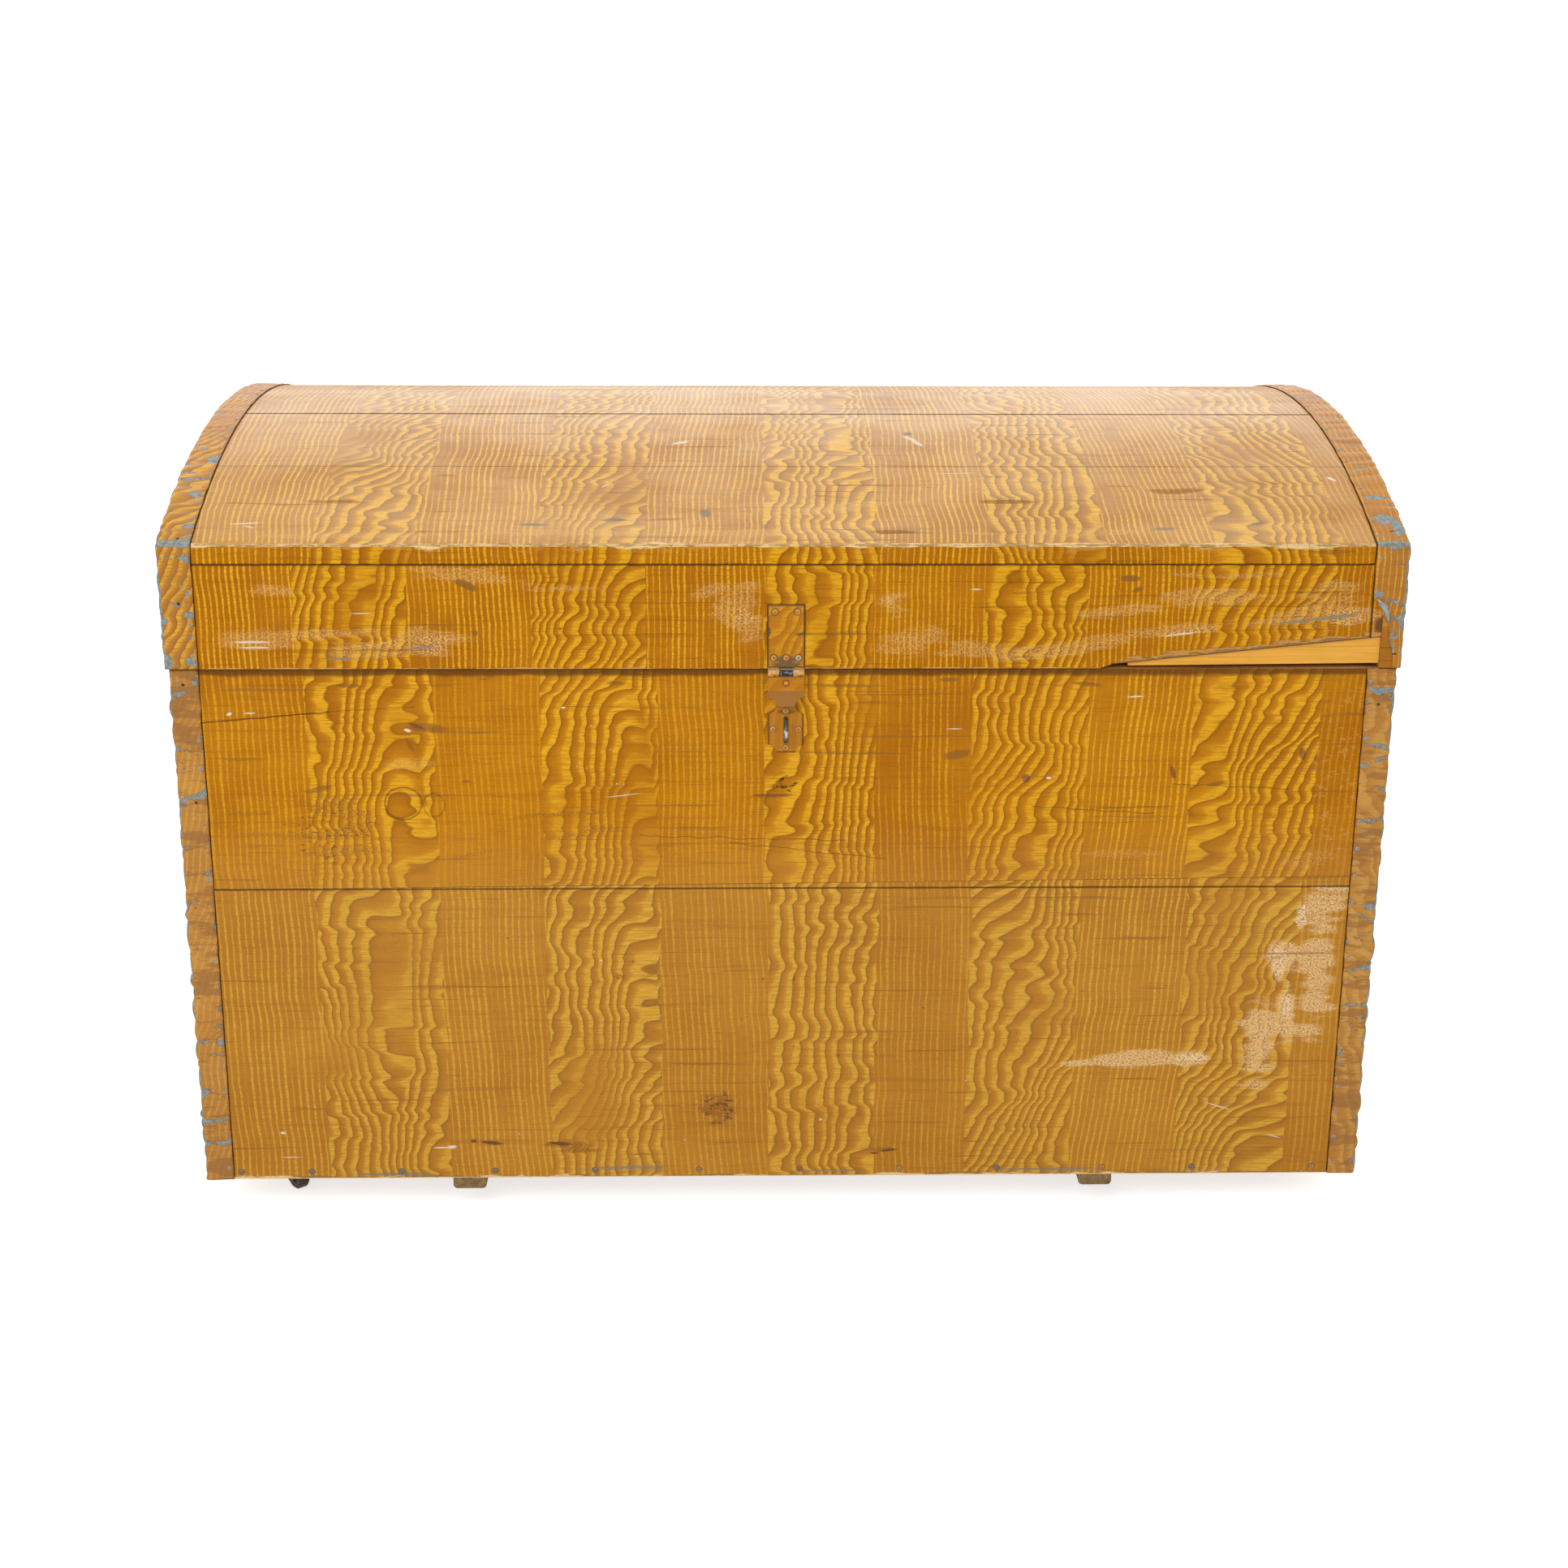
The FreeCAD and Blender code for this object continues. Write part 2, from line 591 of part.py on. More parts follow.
keeperHalf = "keeperWidth / 2"
keeperSpots = [("-keeperScrewSpan / 2", "keeperMiddle"), ("keeperScrewSpan / 2", "keeperMiddle"),
               ("0", "keeperMiddle + keeperScrewRise / 2"), ("0", "keeperMiddle - keeperScrewRise / 2")]
stapleRing = "(stapleHeight / 2 - stapleWireRadius)"
stapleBend = "frontFace - stapleReach + %s + stapleWireRadius" % stapleRing
keeperFront = "frontFace - keeperThickness - overrun"
keeperTools = screwHoles(keeperSpots, keeperFront, "keeperThickness + 2 * overrun", "smallScrewRadius")
staplePieces = []
for sign in ("+", "-"):
    legHeight = "keeperMiddle %s %s" % (sign, stapleRing)
    keeperTools.append(rod("StapleHole", "y", "stapleWireRadius + staplePlay", ("0", keeperFront, legHeight),
                           "keeperThickness + 2 * overrun"))
    staplePieces.append(rod("StapleLeg", "y", "stapleWireRadius", ("0", stapleBend, legHeight),
                            "stapleReach - %s - stapleWireRadius" % stapleRing))
    for side in sides:
        edge = keeperHalf if side == "right" else "-" + keeperHalf
        keeperTools.append(rod("KeeperNotch", "y", "keeperNotchRadius",
                               (edge, keeperFront, "keeperMiddle %s keeperHeight / 2" % sign),
                               "keeperThickness + 2 * overrun"))
keeperBlank = box("KeeperPlate", ("-" + keeperHalf, keeperHalf), ("frontFace - keeperThickness", "frontFace"),
                  ("keeperTop - keeperHeight", "keeperTop"))
keep("keeper_plate", cut("Keeper", keeperBlank, keeperTools))
bend = new("Part::Torus", "StapleBend")
tie(bend, Radius1=stapleRing, Radius2="stapleWireRadius")
bend.Angle3 = 180
bend.Placement = FreeCAD.Placement(FreeCAD.Vector(), FreeCAD.Rotation(FreeCAD.Vector(1, 0, 0), 90) * turns["x"])
shift(bend, "0", stapleBend, "keeperMiddle")
keep("staple", join("Staple", [bend] + staplePieces))

# Two butt hinges on the back, leaves outside, pins fixed in the case's leaves

hingeDeep = ("backFace", "backFace + hingeLeafThickness")
hingeScrewHeight = "(hingeLeafEdge + hingeLeafHeight) / 2"
lidLeaves = []
caseLeaves = []
hingePins = []
hingeSpots = []
for side in sides:
    x0 = "hingePlace" if side == "right" else "-hingePlace"
    whole = (x0 + " - hingeLength / 2", x0 + " + hingeLength / 2")
    middle = (x0 + " - hingeBarrelLength / 2", x0 + " + hingeBarrelLength / 2")
    ends = ((whole[0], middle[0] + " - hingeBarrelGap"), (middle[1] + " + hingeBarrelGap", whole[1]))
    hingeSpots += [x0 + " - hingeScrewSpan / 2", x0, x0 + " + hingeScrewSpan / 2"]
    bore = rod("HingeBore", "x", "hingePinRadius + pinPlay",
               (whole[0] + " - overrun", "hingeAxisBack", "hingeAxisHeight"), "hingeLength + 2 * overrun")
    for leaves, tongues, up in ((lidLeaves, (middle,), "+"), (caseLeaves, ends, "-")):
        far = "hingeAxisHeight %s hingeLeafHeight" % up
        near = "hingeAxisHeight %s hingeLeafEdge" % up
        root = near + " %s hingeLeafThickness" % up
        low, high = (near, far) if up == "+" else (far, near)
        pieces = [box("HingePlate", whole, hingeDeep, (low, high))]
        for tongue in tongues:
            low, high = ("hingeAxisHeight", root) if up == "+" else (root, "hingeAxisHeight")
            pieces.append(box("HingeTongue", tongue, hingeDeep, (low, high)))
            pieces.append(rod("HingeBarrel", "x", "hingeKnuckleRadius",
                              (tongue[0], "hingeAxisBack", "hingeAxisHeight"),
                              "(%s) - (%s)" % (tongue[1], tongue[0])))
        holes = screwHoles([(x, "hingeAxisHeight %s %s" % (up, hingeScrewHeight)) for x in hingeSpots[-3:]],
                           "backFace - overrun", "hingeLeafThickness + 2 * overrun", "largeScrewRadius")
        leaves.append(cut("HingeLeaf", join("HingeLeafWhole", pieces), [bore] + holes))
    hingePins.append(join("HingePin", [
        rod("HingePinRod", "x", "hingePinRadius", (whole[0], "hingeAxisBack", "hingeAxisHeight"), "hingeLength"),
        rod("HingePinHead", "x", "hingePinHead",
            (whole[0] + " - hingePinHeadLength", "hingeAxisBack", "hingeAxisHeight"), "hingePinHeadLength"),
        rod("HingePinHead", "x", "hingePinHead", (whole[1], "hingeAxisBack", "hingeAxisHeight"),
            "hingePinHeadLength")]))
keep("hinge_lid_leaves", group("HingeLidLeaves", lidLeaves))
keep("hinge_case_leaves", group("HingeCaseLeaves", caseLeaves))
keep("hinge_pins", group("HingePins", hingePins))

# Handle brackets on the ends

brackets = []
bracketSpots = []
for out in ("-", "+"):
    for up in ("-", "+"):
        bracketSpots.append(("middle %s (bracketLength / 2 - bracketScrewInset)" % out,
                             "handleAxis %s bracketScrewRise" % up))
for side in sides:
    thick = span(side, "halfBody", "halfBody + bracketThickness")
    pieces = [box("BracketPlate", thick, ("middle - bracketLength / 2", "middle + bracketLength / 2"),
                  ("handleAxis - bracketHeight / 2", "handleAxis + bracketHeight / 2"))]
    pivot = "handleAxisOut" if side == "right" else "-handleAxisOut"
    for out in ("-", "+"):
        low = "middle %s handleSpan / 2 - lugWidth / 2" % out
        pieces.append(rod("Lug", "y", "lugRadius", (pivot, low, "handleAxis"), "lugWidth"))
        pieces.append(box("LugRoot", span(side, "halfBody", "handleAxisOut"), (low, low + " + lugWidth"),
                          ("handleAxis - lugRadius", "handleAxis + lugRadius")))
    tools = [rod("LugBore", "y", "handleRodRadius + handlePlay", (pivot, "middle - bracketLength / 2", "handleAxis"),
                 "bracketLength")]
    for y, z in bracketSpots:
        tools.append(rod("BracketHole", "x", "largeScrewRadius + screwPlay", (thick[0] + " - overrun", y, z),
                         "bracketThickness + 2 * overrun"))
    brackets.append(cut("Bracket", join("BracketWhole", pieces), tools))
keep("handle_brackets", group("HandleBrackets", brackets))

# Casters: a plate with its king pin, a fork that swivels on it, and a wheel on the fork's axle

casterPlates = []
casterSpots = []
wheelHalf = "(wheelWidth / 2 + wheelPlay)"
axleHalf = "(wheelWidth / 2 + wheelPlay + cheekThickness + axleHead)"
pinFoot = "crownTop - crownThickness - kingPinGap - kingPinHeadThickness"
for face in faces:
    for side in sides:
        x0 = span(side, "halfBody - casterInsetX", "0")[0 if side == "right" else 1]
        y0 = "frontFace + casterInsetY" if face == "front" else "backFace - casterInsetY"
        heading = face + side.capitalize() + "Heading"
        half = "casterPlateSize / 2"
        plate = box("CasterPlate", (x0 + " - " + half, x0 + " + " + half), (y0 + " - " + half, y0 + " + " + half),
                    ("casterHeight - casterPlateThickness", "casterHeight"))
        pin = rod("KingPin", "z", "kingPinRadius", (x0, y0, pinFoot), "casterHeight - (%s)" % pinFoot)
        head = rod("KingPinHead", "z", "kingPinHeadRadius", (x0, y0, pinFoot), "kingPinHeadThickness")
        holes = []
        for across in ("-", "+"):
            for along in ("-", "+"):
                spot = (x0 + " %s casterPlateHole" % across, y0 + " %s casterPlateHole" % along)
                casterSpots.append(spot)
                holes.append(rod("PlateHole", "z", "smallScrewRadius + screwPlay",
                                 (spot[0], spot[1], "casterHeight - casterPlateThickness - overrun"),
                                 "casterPlateThickness + 2 * overrun"))
        casterPlates.append(cut("CasterPlateCut", join("CasterPlateWhole", [plate, pin, head]), holes))

        crown = rod("Crown", "z", "crownRadius", ("0", "0", "crownTop - crownThickness"), "crownThickness")
        cheekPoints = [("cheekTopBack", "crownTop"), ("-cheekTopFront", "crownTop"),
                       ("-casterTrail - cheekBoss", "wheelRadius + cheekBoss / 2"),
                       ("-casterTrail - cheekBoss / 2", "wheelRadius - cheekBoss"),
                       ("-casterTrail + cheekBoss", "wheelRadius - cheekBoss")]
        cheeks = []
        for start in (wheelHalf, "-%s - cheekThickness" % wheelHalf):
            cheek = slab("Cheek", "YZ_Plane", cheekPoints, "cheekThickness")
            cheeks.append(shift(cheek, start, "0", "0"))
        forkTools = [rod("CrownBore", "z", "kingPinRadius + pinPlay", ("0", "0", "crownTop - crownThickness - overrun"),
                         "crownThickness + 2 * overrun"),
                     rod("AxleHole", "x", "axleRadius + pinPlay",
                         ("-%s - overrun" % axleHalf, "-casterTrail", "wheelRadius"),
                         "2 * %s + 2 * overrun" % axleHalf)]
        fork = cut("Fork", join("ForkWhole", [crown] + cheeks), forkTools)
        axle = rod("Axle", "x", "axleRadius", ("-" + axleHalf, "-casterTrail", "wheelRadius"), "2 * " + axleHalf)
        forkGroup = group("CasterFork", [fork, axle])
        forkGroup.Placement = FreeCAD.Placement(FreeCAD.Vector(), FreeCAD.Rotation(FreeCAD.Vector(0, 0, 1), 1))
        forkGroup.setExpression("Placement.Rotation.Angle", cells(heading))
        keep("%s_%s_caster_fork" % (face, side), shift(forkGroup, x0, y0, "0"))

        wheel, section = outlineBody("Wheel", "XY_Plane", [
            ("-wheelWidth / 2", "axleRadius + pinPlay"), ("wheelWidth / 2", "axleRadius + pinPlay"),
            ("wheelWidth / 2", "wheelRadius - wheelChamfer"), ("wheelWidth / 2 - wheelChamfer", "wheelRadius"),
            ("-wheelWidth / 2 + wheelChamfer", "wheelRadius"), ("-wheelWidth / 2", "wheelRadius - wheelChamfer")])
        turned = wheel.newObject("PartDesign::Revolution", "WheelTurned")
        turned.Profile = section
        turned.ReferenceAxis = (section, ["H_Axis"])
        turned.Angle = 360
        wheel.Tip = turned
        wheel.Placement = FreeCAD.Placement(FreeCAD.Vector(), FreeCAD.Rotation(FreeCAD.Vector(0, 0, 1), 1))
        wheel.setExpression("Placement.Rotation.Angle", cells(heading))
        keep("%s_%s_caster_wheel" % (face, side),
             shift(wheel, x0 + " + casterTrail * sin(%s)" % heading, y0 + " - casterTrail * cos(%s)" % heading,
                   "wheelRadius"))
keep("caster_plates", group("CasterPlates", casterPlates))
doc.recompute()

# Swinging bail handles: a round rod bent to a U, its two ends turned outwards through the lugs

legPlace = "(handleSpan / 2 - lugWidth / 2 - handleBend)"
for side in sides:
    pivot = "handleAxisOut" if side == "right" else "-handleAxisOut"
    pieces = [rod("Grip", "y", "handleRodRadius",
                  (pivot, "middle - %s + handleBend" % legPlace, "handleAxis - handleDrop"),
                  "2 * (%s - handleBend)" % legPlace)]
    for sign, upperTurn, lowerTurn in (("-", 0, 180), ("+", 90, 270)):
        leg = "middle %s %s" % (sign, legPlace)
        stubStart = leg + " + handleBend" if sign == "+" else "middle - handleSpan / 2 - lugWidth / 2"
        pieces.append(rod("HandleStub", "y", "handleRodRadius", (pivot, stubStart, "handleAxis"), "lugWidth"))
        pieces.append(rod("HandleLeg", "z", "handleRodRadius", (pivot, leg, "handleAxis - handleDrop + handleBend"),
                          "handleDrop - 2 * handleBend"))
        inward = "-" if sign == "+" else "+"
        for turn, y, z in ((upperTurn, leg + " %s handleBend" % sign, "handleAxis - handleBend"),
                           (lowerTurn, leg + " %s handleBend" % inward, "handleAxis - handleDrop + handleBend")):
            bend = new("Part::Torus", "HandleCorner")
            tie(bend, Radius1="handleBend", Radius2="handleRodRadius")
            bend.Angle3 = 90
            bend.Placement = FreeCAD.Placement(
                FreeCAD.Vector(), FreeCAD.Rotation(FreeCAD.Vector(1, 0, 0), turn) * turns["x"])
            pieces.append(shift(bend, pivot, y, z))
    keep(side + "_handle", join("Handle", pieces))
doc.recompute()

# Nails, rivets and screws: a domed head with its shank, copied to rows of places


def fastener(headRadius, headHeight, shankRadius, length, slotted=False):
    # the underside of the head lies at the origin, with the head along +Z
    ball = (headRadius ** 2 + headHeight ** 2) / (2 * headHeight)
    half = math.asin(headRadius / ball) / 2
    crown = FreeCAD.Vector(0, 0, headHeight)
    rimPoint = FreeCAD.Vector(headRadius, 0, 0)
    between = FreeCAD.Vector(ball * math.sin(half), 0, headHeight - ball + ball * math.cos(half))
    neck = FreeCAD.Vector(shankRadius, 0, 0)
    foot = FreeCAD.Vector(shankRadius, 0, -length)
    tip = FreeCAD.Vector(0, 0, -length - 2 * shankRadius)
    edges = [Part.Arc(crown, between, rimPoint).toShape(), Part.makeLine(rimPoint, neck),
             Part.makeLine(neck, foot), Part.makeLine(foot, tip), Part.makeLine(tip, crown)]
    turned = Part.Face(Part.Wire(edges)).revolve(FreeCAD.Vector(0, 0, 0), FreeCAD.Vector(0, 0, 1), 360)
    if slotted:
        width = at("screwSlotWidth")
        slot = Part.makeBox(2 * headRadius, width, headHeight,
                            FreeCAD.Vector(-headRadius, -width / 2, headHeight - at("screwSlotDepth")))
        turned = turned.cut(slot)
    return turned


def nails(label, shape, rows):
    # one copy for each (place, direction of the head); slotted heads get a turn of their own
    copies = []
    for i, (spot, away) in enumerate(rows):
        copy = shape.copy()
        lean = FreeCAD.Rotation(FreeCAD.Vector(0, 0, 1), FreeCAD.Vector(*away))
        own = FreeCAD.Rotation(FreeCAD.Vector(0, 0, 1), 67 * i)
        copy.Placement = FreeCAD.Placement(FreeCAD.Vector(*spot), lean * own)
        copies.append(copy)
    item = new("Part::Feature", "Fasteners")
    item.Shape = Part.makeCompound(copies)
    return keep(label, item)


def rising(low, high, pitch):
    count = int((high - low) / pitch)
    return [low + i * (high - low) / count for i in range(count + 1)]


strapNail = fastener(at("nailHeadRadius"), at("nailHeadHeight"), at("nailShankRadius"), at("nailLength"))
floorNail = fastener(at("floorNailHeadRadius"), at("nailHeadHeight"), at("nailShankRadius"), at("floorNailLength"))
smallSizes = [at("smallScrew" + size) for size in ("HeadRadius", "HeadHeight", "Radius", "Length")]
smallScrew = fastener(*smallSizes, slotted=True)
clinchedRivet = fastener(*smallSizes)
largeScrew = fastener(at("largeScrewHeadRadius"), at("largeScrewHeadHeight"), at("largeScrewRadius"),
                      at("largeScrewLength"), slotted=True)
toFront, toBack, toLeft, toRight, toFloor = (0, -1, 0), (0, 1, 0), (-1, 0, 0), (1, 0, 0), (0, 0, -1)
outward = {"left": toLeft, "right": toRight}
sign = {"left": -1, "right": 1}

for side in sides:
    rows = []
    x = sign[side] * at("halfBody - cornerStrapWidth + nailInset")
    for z in rising(at("underside + nailFirst"), at("rim - nailFirst"), at("cornerNailPitch")):
        rows.append(((x, at("frontFace - strapReach"), z), toFront))
        rows.append(((x, at("backFace + strapReach"), z), toBack))
        for y in (at("frontFace + cornerStrapTurn - nailInset"), at("backFace - cornerStrapTurn + nailInset")):
            rows.append(((sign[side] * at("halfBody + strapReach"), y, z), outward[side]))
    nails(side + "_corner_nails", strapNail, rows)

rows = []
middle, centre = at("domeMiddle"), at("domeCentre")
half = math.radians(at("domeHalfAngle"))
overDome = at("domeRadius + strapReach")
turned = at("domeRadius - lidStrapTurn + nailInset")
for side in sides:
    x = sign[side] * at("halfLid - lidStrapWidth + nailInset")
    endX = sign[side] * at("halfLid + strapReach")
    for z in rising(at("lidBottom + nailFirst"), at("lidEdge - nailFirst"), at("lidNailPitch")):
        if side == "left" or z > at("lidBottom + tearHeight"):
            rows.append(((x, at("lidFront - strapReach"), z), toFront))
        rows.append(((x, at("backFace + strapReach"), z), toBack))
    inset = at("nailFirst") / overDome
    for angle in rising(-half + inset, half - inset, at("lidNailPitch") / overDome):
        away = (0, math.sin(angle), math.cos(angle))
        rows.append(((x, middle + overDome * away[1], centre + overDome * away[2]), away))
    inset = at("lidStrapTurn") / turned
    for angle in rising(-half + inset, half - inset, at("lidEndNailPitch") / turned):
        rows.append(((endX, middle + turned * math.sin(angle), centre + turned * math.cos(angle)), outward[side]))
nails("lid_strap_nails", strapNail, rows)

rows = []
nailHeight = at("underside + floorNailRise")
for share in floorNailShares:
    rows.append(((share * at("halfBody"), at("frontFace"), nailHeight), toFront))
    rows.append(((-share * at("halfBody"), at("backFace"), nailHeight), toBack))
for share in sideNailShares:
    for side in sides:
        rows.append(((sign[side] * at("halfBody"), at("middle") + share * at("bodyDepth / 2"), nailHeight),
                     outward[side]))
nails("board_nails", floorNail, rows)

nails("hasp_rivets", clinchedRivet,
      [((at(x), at("lidFront - haspPlateThickness"), at(z)), toFront) for x, z in haspSpots])
nails("keeper_rivets", clinchedRivet,
      [((at(x), at("frontFace - keeperThickness"), at(z)), toFront) for x, z in keeperSpots])
for label, up in (("hinge_lid_screws", "+"), ("hinge_case_screws", "-")):
    z = at("hingeAxisHeight %s %s" % (up, hingeScrewHeight))
    nails(label, largeScrew, [((at(x), at("backFace + hingeLeafThickness"), z), toBack) for x in hingeSpots])
nails("handle_screws", largeScrew,
      [((sign[side] * at("halfBody + bracketThickness"), at(y), at(z)), outward[side])
       for side in sides for y, z in bracketSpots])
nails("caster_screws", smallScrew,
      [((at(x), at(y), at("casterHeight - casterPlateThickness")), toFloor) for x, y in casterSpots])
doc.recompute()

# Nothing is written unless every object and every kept piece is sound

faults = [item.Label for item in doc.Objects if "Invalid" in item.State or "Error" in item.State]
faults += [label for label, item in kept.items() if item.Shape.isNull() or not item.Shape.isValid()]
if faults:
    raise RuntimeError("not built: " + ", ".join(faults))
os.makedirs("parts", exist_ok=True)
for label, item in kept.items():
    item.Shape.exportStep("parts/" + label + ".step")
print("%d pieces written" % len(kept))
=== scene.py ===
import math
import random

import bmesh
import bpy
from mathutils import Matrix, Vector, noise as ripple


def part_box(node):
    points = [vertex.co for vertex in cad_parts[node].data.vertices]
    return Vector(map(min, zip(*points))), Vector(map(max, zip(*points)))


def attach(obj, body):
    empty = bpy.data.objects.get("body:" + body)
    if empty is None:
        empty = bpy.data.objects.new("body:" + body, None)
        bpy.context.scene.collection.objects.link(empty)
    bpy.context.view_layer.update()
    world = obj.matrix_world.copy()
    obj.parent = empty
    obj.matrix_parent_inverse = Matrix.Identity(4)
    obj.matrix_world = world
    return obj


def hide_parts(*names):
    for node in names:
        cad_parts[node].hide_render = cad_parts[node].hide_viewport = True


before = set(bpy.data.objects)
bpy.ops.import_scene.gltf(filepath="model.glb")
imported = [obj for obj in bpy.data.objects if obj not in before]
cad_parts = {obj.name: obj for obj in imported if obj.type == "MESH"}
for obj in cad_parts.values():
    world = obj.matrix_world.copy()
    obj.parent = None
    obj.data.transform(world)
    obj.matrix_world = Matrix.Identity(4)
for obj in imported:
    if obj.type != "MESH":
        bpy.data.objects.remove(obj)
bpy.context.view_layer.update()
print("frame loaded")

# Places shared with the construction, in metres
trunk = {
    "halfCase": 0.536, "caseFront": -0.35365, "caseBack": 0.36335, "underside": 0.033, "rim": 0.5244,
    "halfLid": 0.539, "lidFront": -0.35665, "lidBottom": 0.5258, "lidEdge": 0.6358,
    "domeRadius": 0.936, "domeMiddle": 0.00335, "domeCentre": -0.2282, "domeHalfAngle": math.radians(22.6199),
}


def tone(red, green, blue):
    # a colour read as 0 to 255 on a screen, as the linear colour that a shader takes
    linear = [((c / 255 + 0.055) / 1.055) ** 2.4 if c > 10 else c / 255 / 12.92 for c in (red, green, blue)]
    return (*linear, 1)


# Short ways to place shader nodes

def put(tree, kind, **settings):
    node = tree.nodes.new(kind)
    for name, value in settings.items():
        setattr(node, name, value)
    return node


def feed(tree, socket, value):
    # a socket gets another node's output, or a plain number or colour
    if isinstance(value, bpy.types.NodeSocket):
        tree.links.new(value, socket)
    elif value is not None:
        socket.default_value = value


def calc(tree, operation, *values, clamp=False):
    node = put(tree, "ShaderNodeMath", operation=operation, use_clamp=clamp)
    for socket, value in zip(node.inputs, values):
        feed(tree, socket, value)
    return node.outputs[0]


def times(tree, *values, clamp=False):
    return calc(tree, "MULTIPLY", *values, clamp=clamp)


def plus(tree, *values):
    return calc(tree, "ADD", *values)


def minus(tree, *values):
    return calc(tree, "SUBTRACT", *values)


def rise(tree, value, low, high, start=0.0, end=1.0):
    # smooth step from low to high
    node = put(tree, "ShaderNodeMapRange", interpolation_type="SMOOTHSTEP")
    for socket, v in zip(node.inputs[:5], (value, low, high, start, end)):
        feed(tree, socket, v)
    return node.outputs[0]


def blendTones(tree, amount, under, over):
    node = put(tree, "ShaderNodeMix", data_type="RGBA")
    for number, value in ((0, amount), (6, under), (7, over)):
        feed(tree, node.inputs[number], value)
    return node.outputs[2]


def blendValues(tree, amount, first, second):
    node = put(tree, "ShaderNodeMix", data_type="FLOAT")
    for number, value in ((0, amount), (2, first), (3, second)):
        feed(tree, node.inputs[number], value)
    return node.outputs[0]


def spot(tree, x=0.0, y=0.0, z=0.0):
    node = put(tree, "ShaderNodeCombineXYZ")
    for socket, value in zip(node.inputs, (x, y, z)):
        feed(tree, socket, value)
    return node.outputs[0]


def cloud(tree, place, scale, detail=2.0, rough=0.5):
    node = put(tree, "ShaderNodeTexNoise", noise_dimensions="3D")
    for name, value in (("Vector", place), ("Scale", scale), ("Detail", detail), ("Roughness", rough)):
        feed(tree, node.inputs[name], value)
    return node.outputs["Fac"]


def streaks(tree, u, v, across, up, seed, detail, rough):
    # a cloud on a face, drawn out along one of its directions
    return cloud(tree, spot(tree, times(tree, u, across), times(tree, v, up), seed), 1.0, detail, rough)


def stops(tree, value, rows, smooth="LINEAR"):
    # a ramp whose rows are (place, grey or colour)
    node = put(tree, "ShaderNodeValToRGB")
    ramp = node.color_ramp
    ramp.interpolation = smooth
    while len(ramp.elements) < len(rows):
        ramp.elements.new(1.0)
    for element, (place, shade) in zip(ramp.elements, rows):
        element.position = place
        element.color = shade if isinstance(shade, tuple) else (shade, shade, shade, 1)
    feed(tree, node.inputs[0], value)
    return node.outputs[0]


def split(tree, vector):
    node = put(tree, "ShaderNodeSeparateXYZ")
    feed(tree, node.inputs[0], vector)
    return node.outputs


def bump(tree, height, distance):
    node = put(tree, "ShaderNodeBump")
    feed(tree, node.inputs["Height"], height)
    node.inputs["Strength"].default_value = 1.0
    node.inputs["Distance"].default_value = distance
    return node.outputs[0]


def newGroup(name, inputs, outputs):
    # inputs are name: starting value, a number or a place; outputs are the names of numbers
    tree = bpy.data.node_groups.new(name, "ShaderNodeTree")
    for label, value in inputs.items():
        kind = "NodeSocketVector" if isinstance(value, tuple) else "NodeSocketFloat"
        tree.interface.new_socket(label, in_out="INPUT", socket_type=kind).default_value = value
    for label in outputs:
        tree.interface.new_socket(label, in_out="OUTPUT", socket_type="NodeSocketFloat")
    return tree, put(tree, "NodeGroupInput").outputs, put(tree, "NodeGroupOutput").inputs


def use(tree, group, **values):
    node = put(tree, "ShaderNodeGroup", node_tree=group)
    for label, value in values.items():
        feed(tree, node.inputs[label], value)
    return node.outputs


def newMaterial(name):
    material = bpy.data.materials.new(name)
    material.use_nodes = True
    tree = material.node_tree
    return material, tree, tree.nodes["Principled BSDF"]


def ownPlace(tree):
    return put(tree, "ShaderNodeTexCoord").outputs["Object"]


# Places on the painted faces

def buildDomePlace():
    tree, given, out = newGroup("domePlace", {"Place": (0.0, 0.0, 0.0)}, ("Arc", "Radius"))
    x, y, z = split(tree, given["Place"])
    back = minus(tree, y, trunk["domeMiddle"])
    up = minus(tree, z, trunk["domeCentre"])
    angle = calc(tree, "ARCTAN2", back, up)
    feed(tree, out["Arc"], times(tree, angle, trunk["domeRadius"]))
    square = plus(tree, times(tree, back, back), times(tree, up, up))
    feed(tree, out["Radius"], calc(tree, "SQRT", square))
    return tree


graining = {
    "heartPitch": 2.0,       # the figure's pitch is this many comb pitches
    "kinkLength": 0.030, "kinkSize": 0.0062, "smallKinkLength": 0.010, "smallKinkSize": 0.0052,
    "figureAcross": 11.0, "figureUp": 5.5, "figureRings": 5.4,
    "flameAcross": 13.0, "flameUp": 5.5, "flameRings": 6.5, "roughEdge": 0.0013,
}


